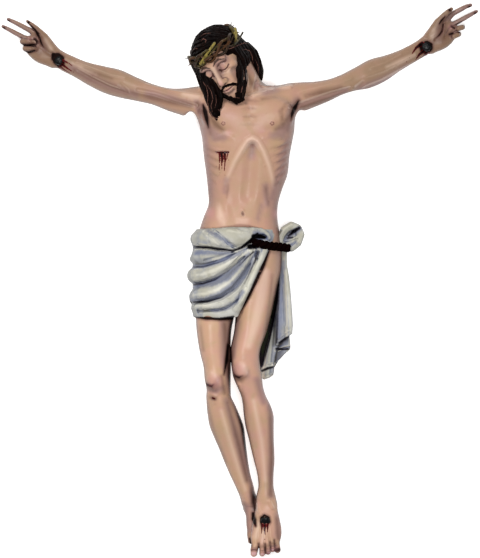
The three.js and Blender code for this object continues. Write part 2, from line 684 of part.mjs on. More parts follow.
// Walk the space in ever smaller blocks, keep those near the surface and mesh their cells.
function meshField(figure, cell) {
  const origin = figure.box.min.clone().subScalar(4 * cell);
  const size = figure.box.getSize(new THREE.Vector3()).addScalar(8 * cell);
  const across = Math.ceil(Math.max(size.x, size.y, size.z) / cell);
  const levels = Math.ceil(Math.log2(across));
  const stride = 2 ** levels + 1;
  const values = new Map();
  const corners = new Map();
  const positions = [];
  const triangles = [];

  const valueAt = (i, j, k) => {
    const key = (k * stride + j) * stride + i;
    let value = values.get(key);
    if (value === undefined) {
      value = figure.distance(origin.x + i * cell, origin.y + j * cell, origin.z + k * cell);
      values.set(key, value);
    }
    return value;
  };

  // Corner offsets and edges in the order of the marching cubes tables
  const offsets = [[0, 0, 0], [1, 0, 0], [1, 1, 0], [0, 1, 0], [0, 0, 1], [1, 0, 1], [1, 1, 1], [0, 1, 1]];
  const edges = [[0, 1], [1, 2], [2, 3], [3, 0], [4, 5], [5, 6], [6, 7], [7, 4], [0, 4], [1, 5], [2, 6], [3, 7]];

  const pointOn = (cube, edge) => {
    const [from, to] = edges[edge];
    const [a, b] = [cube[from], cube[to]];
    const swap = a.key > b.key;
    const key = swap ? `${b.key}/${a.key}` : `${a.key}/${b.key}`;
    let index = corners.get(key);
    if (index === undefined) {
      const part = Math.min(Math.max(a.value / (a.value - b.value), 0.08), 0.92);
      index = positions.length / 3;
      for (const axis of [0, 1, 2]) {
        positions.push(origin.getComponent(axis) + (a.at[axis] + (b.at[axis] - a.at[axis]) * part) * cell);
      }
      corners.set(key, index);
    }
    return index;
  };

  const meshCell = (i, j, k) => {
    let state = 0;
    const cube = offsets.map(([di, dj, dk], corner) => {
      const at = [i + di, j + dj, k + dk];
      const value = valueAt(...at);
      if (value < 0) state |= 1 << corner;
      return { at, value, key: (at[2] * stride + at[1]) * stride + at[0] };
    });
    if (!edgeTable[state]) return;
    for (let slot = state * 16; triTable[slot] !== -1; slot += 3) {
      triangles.push(pointOn(cube, triTable[slot]), pointOn(cube, triTable[slot + 2]), pointOn(cube, triTable[slot + 1]));
    }
  };

  const visit = (i, j, k, span) => {
    const middle = span / 2;
    const value = figure.distance(origin.x + (i + middle) * cell, origin.y + (j + middle) * cell, origin.z + (k + middle) * cell);
    if (Math.abs(value) > span * cell * 1.1 + 8) return;
    const half = span / 2;
    for (const [di, dj, dk] of offsets) {
      if (half === 1) meshCell(i + di, j + dj, k + dk);
      else visit(i + di * half, j + dj * half, k + dk * half, half);
    }
  };
  visit(0, 0, 0, 2 ** levels);
  return { positions, triangles: outerSkin(triangles, positions.length / 3) };
}

// The largest connected part of a mesh: the outer skin, without the skins of hollows inside
function outerSkin(triangles, vertexCount) {
  const parent = Int32Array.from({ length: vertexCount }, (_, vertex) => vertex);
  const rootOf = (vertex) => {
    let root = vertex;
    while (parent[root] !== root) root = parent[root];
    parent[vertex] = root;
    return root;
  };
  for (let index = 0; index < triangles.length; index += 3) {
    parent[rootOf(triangles[index + 1])] = rootOf(triangles[index]);
    parent[rootOf(triangles[index + 2])] = rootOf(triangles[index]);
  }
  const sizes = new Map();
  for (const vertex of triangles) sizes.set(rootOf(vertex), (sizes.get(rootOf(vertex)) ?? 0) + 1);
  const [largest] = [...sizes].sort((a, b) => b[1] - a[1])[0];
  return triangles.filter((_, index) => rootOf(triangles[index - index % 3]) === largest);
}

// A heap of edges, cheapest first
class EdgeHeap {
  constructor() {
    this.items = [];
  }

  push(item) {
    const items = this.items;
    let index = items.length;
    items.push(item);
    while (index > 0) {
      const parent = (index - 1) >> 1;
      if (items[parent].cost <= item.cost) break;
      items[index] = items[parent];
      index = parent;
    }
    items[index] = item;
  }

  pop() {
    const items = this.items;
    const first = items[0];
    const last = items.pop();
    const count = items.length;
    if (count === 0) return first;
    let index = 0;
    for (let child = 1; child < count; child = 2 * index + 1) {
      if (child + 1 < count && items[child + 1].cost < items[child].cost) child += 1;
      if (items[child].cost >= last.cost) break;
      items[index] = items[child];
      index = child;
    }
    items[index] = last;
    return first;
  }
}

// Thin a closed mesh by collapsing its least telling edges. weightAt says how much a place counts.
function thin({ positions, triangles }, target, weightAt) {
  const place = [];
  const quadrics = [];
  const faces = [];
  const around = [];
  const stamp = [];
  for (let index = 0; index < positions.length; index += 3) {
    place.push(positions.slice(index, index + 3));
    quadrics.push(new Float64Array(10));
    around.push(new Set());
    stamp.push(0);
  }
  const normalOf = (a, b, c) => {
    const [ux, uy, uz] = [b[0] - a[0], b[1] - a[1], b[2] - a[2]];
    const [vx, vy, vz] = [c[0] - a[0], c[1] - a[1], c[2] - a[2]];
    return [uy * vz - uz * vy, uz * vx - ux * vz, ux * vy - uy * vx];
  };
  for (let index = 0; index < triangles.length; index += 3) {
    const face = triangles.slice(index, index + 3);
    const [a, b, c] = face.map((vertex) => place[vertex]);
    const normal = normalOf(a, b, c);
    const area = Math.hypot(...normal);
    const [nx, ny, nz] = normal.map((value) => value / (area || 1));
    const d = -(nx * a[0] + ny * a[1] + nz * a[2]);
    const scale = area * weightAt(...a);
    const terms = [nx * nx, nx * ny, nx * nz, nx * d, ny * ny, ny * nz, ny * d, nz * nz, nz * d, d * d];
    for (const vertex of face) {
      around[vertex].add(faces.length);
      terms.forEach((term, slot) => { quadrics[vertex][slot] += term * scale; });
    }
    faces.push(face);
  }
  const costAt = (q, [x, y, z]) => q[0] * x * x + 2 * q[1] * x * y + 2 * q[2] * x * z + 2 * q[3] * x
    + q[4] * y * y + 2 * q[5] * y * z + 2 * q[6] * y + q[7] * z * z + 2 * q[8] * z + q[9];
  const neighboursOf = (vertex) => {
    const found = new Set();
    for (const face of around[vertex]) faces[face].forEach((other) => found.add(other));
    found.delete(vertex);
    return found;
  };
  const bestPoint = (q, a, b) => {
    const middle = [(a[0] + b[0]) / 2, (a[1] + b[1]) / 2, (a[2] + b[2]) / 2];
    const det = q[0] * (q[4] * q[7] - q[5] * q[5]) - q[1] * (q[1] * q[7] - q[5] * q[2]) + q[2] * (q[1] * q[5] - q[4] * q[2]);
    const edge = Math.hypot(a[0] - b[0], a[1] - b[1], a[2] - b[2]);
    if (Math.abs(det) > 1e-9 * (q[0] + q[4] + q[7]) ** 3) {
      const [rx, ry, rz] = [-q[3], -q[6], -q[8]];
      const point = [
        (rx * (q[4] * q[7] - q[5] * q[5]) - q[1] * (ry * q[7] - q[5] * rz) + q[2] * (ry * q[5] - q[4] * rz)) / det,
        (q[0] * (ry * q[7] - rz * q[5]) - rx * (q[1] * q[7] - q[5] * q[2]) + q[2] * (q[1] * rz - ry * q[2])) / det,
        (q[0] * (q[4] * rz - ry * q[5]) - q[1] * (q[1] * rz - ry * q[2]) + rx * (q[1] * q[5] - q[4] * q[2])) / det,
      ];
      if (Math.hypot(point[0] - middle[0], point[1] - middle[1], point[2] - middle[2]) < edge) return point;
    }
    return middle;
  };
  const heap = new EdgeHeap();
  const offer = (a, b) => {
    const q = quadrics[a].map((value, slot) => value + quadrics[b][slot]);
    const point = bestPoint(q, place[a], place[b]);
    const span = Math.hypot(place[a][0] - place[b][0], place[a][1] - place[b][1], place[a][2] - place[b][2]);
    heap.push({ a, b, point, stamps: stamp[a] + stamp[b], cost: Math.max(costAt(q, point), 0) + 1e-4 * span * span });
  };
  const keepsFacing = (vertex, other, point) => {
    for (const index of around[vertex]) {
      const face = faces[index];
      if (face.includes(other)) continue;
      const old = normalOf(...face.map((corner) => place[corner]));
      const next = normalOf(...face.map((corner) => (corner === vertex ? point : place[corner])));
      const dot = old[0] * next[0] + old[1] * next[1] + old[2] * next[2];
      if (dot < 0.25 * Math.hypot(...old) * Math.hypot(...next) || Math.hypot(...next) < 0.02) return false;
    }
    return true;
  };
  for (let vertex = 0; vertex < place.length; vertex += 1) {
    for (const other of neighboursOf(vertex)) if (other > vertex) offer(vertex, other);
  }
  let count = faces.length;
  while (count > target && heap.items.length) {
    const { a, b, point, stamps } = heap.pop();
    if (!around[a].size || !around[b].size || stamp[a] + stamp[b] !== stamps) continue;
    const shared = [...around[a]].filter((face) => around[b].has(face));
    const common = [...neighboursOf(a)].filter((vertex) => neighboursOf(b).has(vertex));
    if (shared.length !== 2 || common.length !== 2) continue;
    if (!keepsFacing(a, b, point) || !keepsFacing(b, a, point)) continue;
    for (const face of shared) {
      faces[face].forEach((vertex) => around[vertex].delete(face));
      faces[face] = null;
    }
    for (const face of around[b]) {
      faces[face] = faces[face].map((vertex) => (vertex === b ? a : vertex));
      around[a].add(face);
    }
    around[b].clear();
    place[a] = point;
    quadrics[b].forEach((value, slot) => { quadrics[a][slot] += value; });
    count -= 2;
    const near = neighboursOf(a);
    stamp[a] += 1;
    for (const other of near) offer(a, other);
  }
  const geometry = new THREE.BufferGeometry();
  const kept = faces.filter(Boolean).flat();
  geometry.setAttribute('position', new THREE.Float32BufferAttribute(place.flat(), 3));
  geometry.setIndex(kept);
  return geometry;
}

// Solids of manifold-3d from closed geometries, and back
const wasm = await Module();
wasm.setup();

function solidOf(geometry) {
  const bare = new THREE.BufferGeometry();
  bare.setAttribute('position', geometry.getAttribute('position'));
  if (geometry.index) bare.setIndex(geometry.index);
  const closed = mergeVertices(bare, 1e-4);
  return new wasm.Manifold(new wasm.Mesh({
    numProp: 3,
    vertProperties: Float32Array.from(closed.getAttribute('position').array),
    triVerts: Uint32Array.from(closed.index.array),
  }));
}

function geometryOf(solid) {
  const mesh = solid.getMesh();
  const geometry = new THREE.BufferGeometry();
  geometry.setAttribute('position', new THREE.BufferAttribute(Float32Array.from(mesh.vertProperties), 3));
  geometry.setIndex(new THREE.BufferAttribute(Uint32Array.from(mesh.triVerts), 1));
  geometry.computeVertexNormals();
  return geometry;
}

// A nail with a domed head and a tapered shank down to -Z. The underside of its head is at 0.
function nailGeometry() {
  const radius = NAIL_HEAD_DIAMETER / 2;
  const shank = NAIL_SHANK_DIAMETER / 2;
  return new THREE.LatheGeometry([
    new THREE.Vector2(0, -NAIL_SHANK_LENGTH),
    new THREE.Vector2(shank * 0.6, -NAIL_SHANK_LENGTH),
    new THREE.Vector2(shank, 0),
    new THREE.Vector2(radius, 0),
    new THREE.Vector2(radius, NAIL_HEAD_EDGE),
    new THREE.Vector2(radius * 0.66, NAIL_HEAD_EDGE + (NAIL_HEAD_RISE - NAIL_HEAD_EDGE) * 0.75),
    new THREE.Vector2(0, NAIL_HEAD_RISE),
  ], NAIL_SIDES).rotateX(Math.PI / 2);
}

// The hole that such a nail sits in, with the fit gap all round and open to the front
function socketGeometry() {
  const radius = NAIL_HEAD_DIAMETER / 2 + FIT_GAP;
  const shank = NAIL_SHANK_DIAMETER / 2 + FIT_GAP;
  return new THREE.LatheGeometry([
    new THREE.Vector2(0, -NAIL_SHANK_LENGTH - FIT_GAP),
    new THREE.Vector2(shank, -NAIL_SHANK_LENGTH - FIT_GAP),
    new THREE.Vector2(shank, -FIT_GAP),
    new THREE.Vector2(radius, -FIT_GAP),
    new THREE.Vector2(radius, 4 * NAIL_HEAD_RISE),
    new THREE.Vector2(0, 4 * NAIL_HEAD_RISE),
  ], NAIL_SIDES).rotateX(Math.PI / 2);
}

// Height of the carved surface over a place on the plan, in shares, looking down from above
function surfaceOver(figure, x, y) {
  let z = figure.box.max.z;
  for (let step = 0; step < 400 && figure.distance(x, y, z) > 0.02; step += 1) {
    z -= Math.max(figure.distance(x, y, z) * 0.7, 0.02);
  }
  return z;
}

// Where the crown sits on the head: an oval hoop round the hair, level with the brow
const CROWN_PLACE = HEAD_PLACE.clone()
  .multiply(new THREE.Matrix4().makeTranslation(CROWN_MIDDLE))
  .multiply(new THREE.Matrix4().makeRotationX(turn(5)));

// A point of the hoop, at an angle round the head, so far out from its line and so far up
function crownPoint(angle, out, up, target) {
  const across = CROWN_ACROSS * share;
  const along = CROWN_ALONG * share;
  const outward = new THREE.Vector2(Math.sin(angle) / across, Math.cos(angle) / along).normalize();
  return target.set(
    Math.sin(angle) * across + outward.x * out,
    up,
    Math.cos(angle) * along + outward.y * out);
}

// The oval tube that all the twigs wind inside, with the gap round them. Its flat sides stay
// outside the curve that they stand for.
function crownSpace(gap) {
  const flats = 10;
  const steps = 44;
  const swell = 1 / Math.cos(Math.PI / flats);
  const sag = CROWN_ALONG * share * (1 - Math.cos(Math.PI / steps));
  const out = (TWIG_SPREAD_OUT + TWIG_DIAMETER / 2 + gap + sag) * swell;
  const up = (TWIG_SPREAD_UP + TWIG_DIAMETER / 2 + gap) * swell;
  return new ParametricGeometry((u, v, target) => {
    const turned = 2 * Math.PI * v;
    crownPoint(2 * Math.PI * u, out * Math.cos(turned), up * Math.sin(turned), target);
  }, steps, flats);
}

// The middle line of one twig, winding round the line of the hoop
function twigPoint(twig, angle, target) {
  const wind = TWIG_TURNS * angle + 2 * Math.PI * twig / TWIG_COUNT;
  return crownPoint(angle, TWIG_SPREAD_OUT * Math.cos(wind), TWIG_SPREAD_UP * Math.sin(wind), target);
}

function twigGeometry(twig) {
  const here = new THREE.Vector3();
  const ahead = new THREE.Vector3();
  return new ParametricGeometry((u, v, target) => {
    const angle = 2 * Math.PI * u;
    twigPoint(twig, angle, here);
    const forward = twigPoint(twig, angle + 0.01, ahead).sub(here).normalize();
    const sideways = new THREE.Vector3(0, 1, 0).cross(forward).normalize();
    const upward = forward.clone().cross(sideways);
    const around = -2 * Math.PI * v;
    target.copy(here)
      .addScaledVector(sideways, Math.cos(around) * TWIG_DIAMETER / 2)
      .addScaledVector(upward, Math.sin(around) * TWIG_DIAMETER / 2);
  }, TWIG_STEPS, TWIG_SIDES);
}

// A thorn grows out of a twig, away from the head, and leans up or down in turn
function thornGeometry(thorn, gap) {
  const angle = 2 * Math.PI * (thorn + 0.3) / THORN_COUNT;
  const root = twigPoint(thorn % TWIG_COUNT, angle, new THREE.Vector3());
  const lean = thorn % 2 ? 0.8 : -0.2;
  const tip = crownPoint(angle + (thorn % 3 - 1) * 0.1, TWIG_SPREAD_OUT + THORN_LENGTH, lean * THORN_LENGTH,
    new THREE.Vector3());
  const length = THORN_LENGTH + 2 * gap;
  return new THREE.ConeGeometry(THORN_DIAMETER / 2 + 1.5 * gap, length, TWIG_SIDES)
    .translate(0, length / 2 - gap / 2, 0)
    .applyQuaternion(new THREE.Quaternion().setFromUnitVectors(new THREE.Vector3(0, 1, 0), tip.sub(root).normalize()))
    .translate(root.x, root.y, root.z);
}

// Millimetres from shares, with the planed backs brought to z = 0
const toMillimetres = new THREE.Matrix4().makeTranslation(0, 0, -PLANED_DEPTH)
  .multiply(new THREE.Matrix4().makeScale(share, share, share));
const crownInPlace = toMillimetres.clone().multiply(CROWN_PLACE)
  .scale(new THREE.Vector3(1, 1, 1).divideScalar(share * HEAD_SIZE));

const figure = makeFigure();
const carved = meshField(figure, CARVING_CELL / share);
const isFine = (x, y) => Math.abs(x) > 365 || y < 60 || (y > 850 && Math.abs(x + 20) < 80);
const thinned = thin(carved, CORPUS_FACES, (x, y) => (isFine(x, y) ? FINE_WEIGHT : 1));
let corpus = solidOf(thinned.applyMatrix4(toMillimetres));

const below = new THREE.BoxGeometry(3 * FIGURE_HEIGHT, 3 * FIGURE_HEIGHT, FIGURE_HEIGHT);
corpus = corpus.subtract(solidOf(below.translate(0, FIGURE_HEIGHT / 2, -FIGURE_HEIGHT / 2)));
corpus = corpus.subtract(solidOf(crownSpace(FIT_GAP).applyMatrix4(crownInPlace)));
for (let thorn = 0; thorn < THORN_COUNT; thorn += 1) {
  corpus = corpus.subtract(solidOf(thornGeometry(thorn, FIT_GAP).applyMatrix4(crownInPlace)));
}

const group = new THREE.Group();

function addPiece(name, geometry, colour, roughness, metalness) {
  const mesh = new THREE.Mesh(geometry, new THREE.MeshStandardMaterial({ color: colour, roughness, metalness }));
  mesh.name = name;
  group.add(mesh);
}

for (const [name, x, y, tilt] of NAILS) {
  const seat = new THREE.Vector3(x, y, surfaceOver(figure, x, y)).applyMatrix4(toMillimetres);
  const place = new THREE.Matrix4().makeTranslation(seat.x, seat.y, seat.z - NAIL_HEAD_EDGE)
    .multiply(new THREE.Matrix4().makeRotationX(turn(-tilt)));
  corpus = corpus.subtract(solidOf(socketGeometry().applyMatrix4(place)));
  addPiece(name, geometryOf(solidOf(nailGeometry().applyMatrix4(place))), IRON_COLOUR, 0.35, 0.6);
}

const crown = [
  ...Array.from({ length: TWIG_COUNT }, (_, twig) => twigGeometry(twig)),
  ...Array.from({ length: THORN_COUNT }, (_, thorn) => thornGeometry(thorn, 0)),
].map((geometry) => solidOf(geometry.applyMatrix4(crownInPlace))).reduce((whole, piece) => whole.add(piece));
const corpusGeometry = geometryOf(corpus);
corpusGeometry.setIndex(outerSkin([...corpusGeometry.index.array], corpusGeometry.getAttribute('position').count));
addPiece('corpus', corpusGeometry, FLESH_COLOUR, 0.45, 0);
addPiece('crown_of_thorns', geometryOf(crown), TWIG_COLOUR, 0.6, 0);

const extent = new THREE.Box3().setFromObject(group);
const middle = extent.getCenter(new THREE.Vector3());
group.position.set(-middle.x, -middle.y, -extent.min.z);
group.updateMatrixWorld(true);

export default group;
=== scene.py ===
# %% [markdown]
# # A carved and painted crucifix corpus
#
# The real object is a figure carved in wood, coated with a smooth ground and painted. It lies on
# its planed back and we look straight down on its front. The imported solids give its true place
# and size, and this script dresses them: a fine carved surface, the paint, the twigs of the crown.

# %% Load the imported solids
import math

import bmesh
import bpy
import numpy as np
import openvdb
from mathutils import Matrix, Vector


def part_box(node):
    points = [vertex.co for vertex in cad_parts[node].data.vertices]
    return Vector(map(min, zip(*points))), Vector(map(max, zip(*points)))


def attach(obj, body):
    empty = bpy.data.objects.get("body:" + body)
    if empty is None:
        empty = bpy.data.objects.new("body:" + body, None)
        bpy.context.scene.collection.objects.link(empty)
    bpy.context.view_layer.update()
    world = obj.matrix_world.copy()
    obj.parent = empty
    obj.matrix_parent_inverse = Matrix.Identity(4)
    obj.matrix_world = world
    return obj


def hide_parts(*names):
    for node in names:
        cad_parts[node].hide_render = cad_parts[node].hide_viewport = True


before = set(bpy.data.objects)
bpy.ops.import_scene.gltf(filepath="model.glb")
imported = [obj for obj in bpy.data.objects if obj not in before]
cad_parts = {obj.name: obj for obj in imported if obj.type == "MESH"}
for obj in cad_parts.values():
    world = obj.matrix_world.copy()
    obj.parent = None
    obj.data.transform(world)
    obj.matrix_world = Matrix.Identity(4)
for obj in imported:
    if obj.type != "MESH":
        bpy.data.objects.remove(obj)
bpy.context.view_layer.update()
print("solids:", sorted(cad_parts))

# %% [markdown]
# Sculptors measure a figure in parts of its height, so its proportions hold at any size. Here all
# carving is measured in thousandths of the height, called shares. One share is 0.8 mm, because
# the figure is 0.8 m tall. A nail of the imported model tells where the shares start. One point of
# the picture covers 1.8832 shares, so places can also be given as they are seen in the picture.

# %% Shares of the height
SHARE = 0.0008
PAINT_DEPTH = 0.94
PLANED = 3.0
PICTURE_POINT = 1.8832
PICTURE_START = (240.5, 557)
PICTURE_HIGH = 558
NAIL_PLACE = (-343.5, 938)
nail_low, nail_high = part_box("nail_right_wrist")
START = np.array([
    (nail_low.x + nail_high.x) / 2 - NAIL_PLACE[0] * SHARE,
    (nail_low.y + nail_high.y) / 2 - NAIL_PLACE[1] * SHARE,
    -PLANED * SHARE])


def metres(points):
    """Points in shares, as metres in the frame."""
    return np.asarray(points, dtype=float) * SHARE + START


def seen(*points):
    """Places in the picture, by its points from the upper left, as (x, y) in shares."""
    left, foot = PICTURE_START
    return [((x - left) * PICTURE_POINT, (foot - y) * PICTURE_POINT) for x, y in points]


print("shares start at", START.round(4))

# %% [markdown]
# The camera comes first, because it says which forms matter most. It hangs over the middle of
# the picture and looks straight down through a long lens, so that the flat arms keep their
# outline. The picture is 480 by 558 points, and one of its points covers 1.507 mm.

# %% Camera
PIXEL = PICTURE_POINT * SHARE
LENS_AWAY = 6.0
MIDDLE_HEIGHT = 0.06
SENSOR = 24.0
camera_data = bpy.data.cameras.new("camera")
camera_data.sensor_fit = "VERTICAL"
camera_data.sensor_height = SENSOR
camera_data.lens = SENSOR * (LENS_AWAY - MIDDLE_HEIGHT) / (PICTURE_HIGH * PIXEL)
camera = bpy.data.objects.new("camera", camera_data)
bpy.context.scene.collection.objects.link(camera)
picture_middle = metres([*seen((PICTURE_START[0], PICTURE_HIGH / 2))[0], 0])
camera.location = (picture_middle[0], picture_middle[1], LENS_AWAY)
camera_data.clip_end = 30.0
bpy.context.scene.camera = camera
print("camera over", [round(v, 4) for v in camera.location], "lens", round(camera_data.lens, 1), "mm")

# %% [markdown]
# The floor is a plain pale sheet. The light is a large soft lamp from the upper left, as in a
# photographer's tent, with a weaker one straight above and a pale sky that fills the shadows.

# %% Floor and light
FLOOR_SIZE = 8.0
FLOOR_GAP = 0.0005
SKY_STRENGTH = 0.30
for thing in list(bpy.context.selected_objects):
    thing.select_set(False)
bpy.ops.mesh.primitive_plane_add(size=FLOOR_SIZE, location=(0, 0, -FLOOR_GAP))
floor = bpy.context.active_object
floor.name = "floor"


def soft_lamp(name, place, aim, size, watts, colour=(1, 1, 1)):
    """A square lamp at a place, turned to its aim."""
    data = bpy.data.lights.new(name, "AREA")
    data.size = size
    data.energy = watts
    data.color = colour
    lamp = bpy.data.objects.new(name, data)
    bpy.context.scene.collection.objects.link(lamp)
    lamp.location = place
    lamp.rotation_euler = (Vector(aim) - Vector(place)).to_track_quat("-Z", "Y").to_euler()
    return lamp


soft_lamp("main_lamp", (-0.75, 1.15, 2), (0, 0, 0), 0.55, 30, (1, 0.985, 0.96))
soft_lamp("top_lamp", (0.15, -0.1, 2.3), (0, 0, 0), 0.5, 26, (0.98, 0.985, 1))
bpy.context.scene.view_settings.view_transform = "Standard"
world = bpy.data.worlds.new("pale_sky")
world.use_nodes = True
sky = world.node_tree.nodes["Background"].inputs
sky["Color"].default_value = (1, 1, 1, 1)
sky["Strength"].default_value = SKY_STRENGTH
bpy.context.scene.world = world

# %% [markdown]
# A carved body has no flat faces and no seams, so boxes and cylinders can't give its form. We
# carve it as a carver does, from a block: the block is a grid of numbers, and each number says
# how far that place is from the carved skin, below zero inside the wood. Forms are added with a
# rounded hollow where they meet, or cut away, and the skin is drawn where the numbers cross zero.

# %% Rounded joins
FAR = 90.0
BAND = 3


def blend(a, b, width):
    """The lower of two distances, with the meeting rounded over a width."""
    if width <= 0:
        return np.minimum(a, b)
    h = np.maximum(width - np.abs(a - b), 0) / width
    return np.minimum(a, b) - h * h * (width / 4)


def between(places, values, at):
    """Smooth values at some places on a line, from those given at others."""
    places, values = np.asarray(places, float), np.asarray(values, float)
    slope = np.gradient(values, places)
    at = np.clip(at, places[0], places[-1])
    k = np.clip(np.searchsorted(places, at, side="right") - 1, 0, len(places) - 2)
    step = places[k + 1] - places[k]
    t = (at - places[k]) / step
    return ((1 + 2 * t) * (1 - t) ** 2 * values[k] + t * (1 - t) ** 2 * step * slope[k]
            + t * t * (3 - 2 * t) * values[k + 1] + t * t * (t - 1) * step * slope[k + 1])

# %% Forms: ball, rod and loft
def ball(middle, radii, degrees=0.0):
    """An egg shape: its middle, its half sizes, and how far it is turned seen from the front."""
    cx, cy, cz = middle
    rx, ry, rz = radii
    cos, sin = math.cos(math.radians(degrees)), math.sin(math.radians(degrees))
    reach = np.array([max(rx, ry), max(rx, ry), rz] if degrees else radii, float)

    def distance(x, y, z):
        u = (x - cx) * cos + (y - cy) * sin
        v = (y - cy) * cos - (x - cx) * sin
        w = z - cz
        near = np.sqrt((u / rx) ** 2 + (v / ry) ** 2 + (w / rz) ** 2)
        slope = np.sqrt((u / rx**2) ** 2 + (v / ry**2) ** 2 + (w / rz**2) ** 2) + 1e-6
        return near * (near - 1) / slope
    return np.array(middle, float) - reach, np.array(middle, float) + reach, distance


def rod(points, flat=1.0):
    """A string of round cones through (x, y, z, radius). flat over 1 thins it toward the front."""
    points = np.asarray(points, float)
    size = points[:, 3:4] * np.array([[1, 1, 1 / flat]])

    def distance(x, y, z):
        nearest = None
        for a, b in zip(points[:-1], points[1:]):
            line = b[:3] - a[:3]
            dx, dy, dz = x - a[0], y - a[1], z - a[2]
            t = np.clip((dx * line[0] + dy * line[1] + dz * line[2]) / (line @ line), 0, 1)
            d = np.sqrt((dx - line[0] * t) ** 2 + (dy - line[1] * t) ** 2
                        + ((dz - line[2] * t) * flat) ** 2) - (a[3] + (b[3] - a[3]) * t)
            nearest = d if nearest is None else np.minimum(nearest, d)
        return nearest / max(flat, 1)
    return (points[:, :3] - size).min(axis=0), (points[:, :3] + size).max(axis=0), distance


def loft(axis, fullness, sections):
    """A body along one axis, from sections: place, side middle, z middle, half width, half depth."""
    table = np.array(sorted(sections), float)
    start, end = table[0, 0], table[-1, 0]
    low = np.array([0, (table[:, 1] - table[:, 3]).min(), (table[:, 2] - table[:, 4]).min()])
    high = np.array([0, (table[:, 1] + table[:, 3]).max(), (table[:, 2] + table[:, 4]).max()])
    low[0], high[0] = start, end
    if axis == "y":
        low[[0, 1]], high[[0, 1]] = low[[1, 0]], high[[1, 0]]

    def distance(x, y, z):
        along, across = (x, y) if axis == "x" else (y, x)
        side, deep, half_width, half_depth = (
            between(table[:, 0], table[:, k], along) for k in (1, 2, 3, 4))
        u = np.abs(across - side) / half_width
        v = np.abs(z - deep) / half_depth
        around = (u ** fullness + v ** fullness) ** (1 / fullness)
        inside = (around - 1) * np.minimum(half_width, half_depth)
        return np.maximum(inside, np.maximum(start - along, along - end))
    return low, high, distance

# %% The block that is carved
class Block:
    """A block of wood as a grid of distances to the carved skin, in shares."""

    def __init__(self, low, high, cell):
        self.cell = cell
        self.start = np.floor(np.asarray(low) / cell).astype(int)
        size = np.ceil(np.asarray(high) / cell).astype(int) - self.start + 1
        self.depth = np.full(size, FAR, np.float32)

    def window(self, low, high):
        """The cells that a box covers, and their places."""
        first = np.clip(np.floor(low / self.cell).astype(int) - self.start, 0, self.depth.shape)
        last = np.clip(np.ceil(high / self.cell).astype(int) - self.start + 1, 0, self.depth.shape)
        where = tuple(slice(a, b) for a, b in zip(first, last))
        places = [((np.arange(a, b) + s) * self.cell).astype(np.float32)
                  for a, b, s in zip(first, last, self.start)]
        return where, (places[0][:, None, None], places[1][None, :, None], places[2][None, None, :])

    def add(self, form, width=0.0, sign=1):
        """Joins a form on, with a rounded hollow of a width."""
        low, high, distance = form
        reach = width + BAND * self.cell
        where, places = self.window(low - reach, high + reach)
        if self.depth[where].size:
            self.depth[where] = sign * blend(sign * self.depth[where], distance(*places), width)
        return self

    def cut(self, form, width=0.0):
        """Cuts a form away, with a rounded edge of a width."""
        return self.add(form, width, -1)

    def merge(self, other, width=0.0):
        """Joins another block on that has cells of the same size."""
        shift = other.start - self.start
        first = np.clip(shift, 0, self.depth.shape)
        last = np.clip(shift + other.depth.shape, 0, self.depth.shape)
        mine = tuple(slice(a, b) for a, b in zip(first, last))
        theirs = tuple(slice(a - s, b - s) for a, b, s in zip(first, last, shift))
        self.depth[mine] = blend(self.depth[mine], other.depth[theirs], width)
        return self

    def at(self, points):
        """The depth at some places, worked out between the cells."""
        grid = np.clip(points / self.cell - self.start, 0, np.array(self.depth.shape) - 1.001)
        low = grid.astype(int)
        part = grid - low
        total = 0
        for corner in np.ndindex(2, 2, 2):
            weight = np.prod(np.where(corner, part, 1 - part), axis=1)
            total = total + weight * self.depth[tuple((low + corner).T)]
        return total

    def plane_back(self, height=PLANED):
        """Planes the back flat at a height."""
        z = (np.arange(self.depth.shape[2]) + self.start[2]) * self.cell
        self.depth = np.maximum(self.depth, (height - z)[None, None, :].astype(np.float32))
        return self

# %% [markdown]
# Ribs, tendons and folds are drawn on the skin as lines, each with a width and a height: a
# ridge rises and a groove sinks. The drawing is a sheet laid over the front (or the back), and a
# line only marks the skin that faces it, so it fades out where the form turns away.

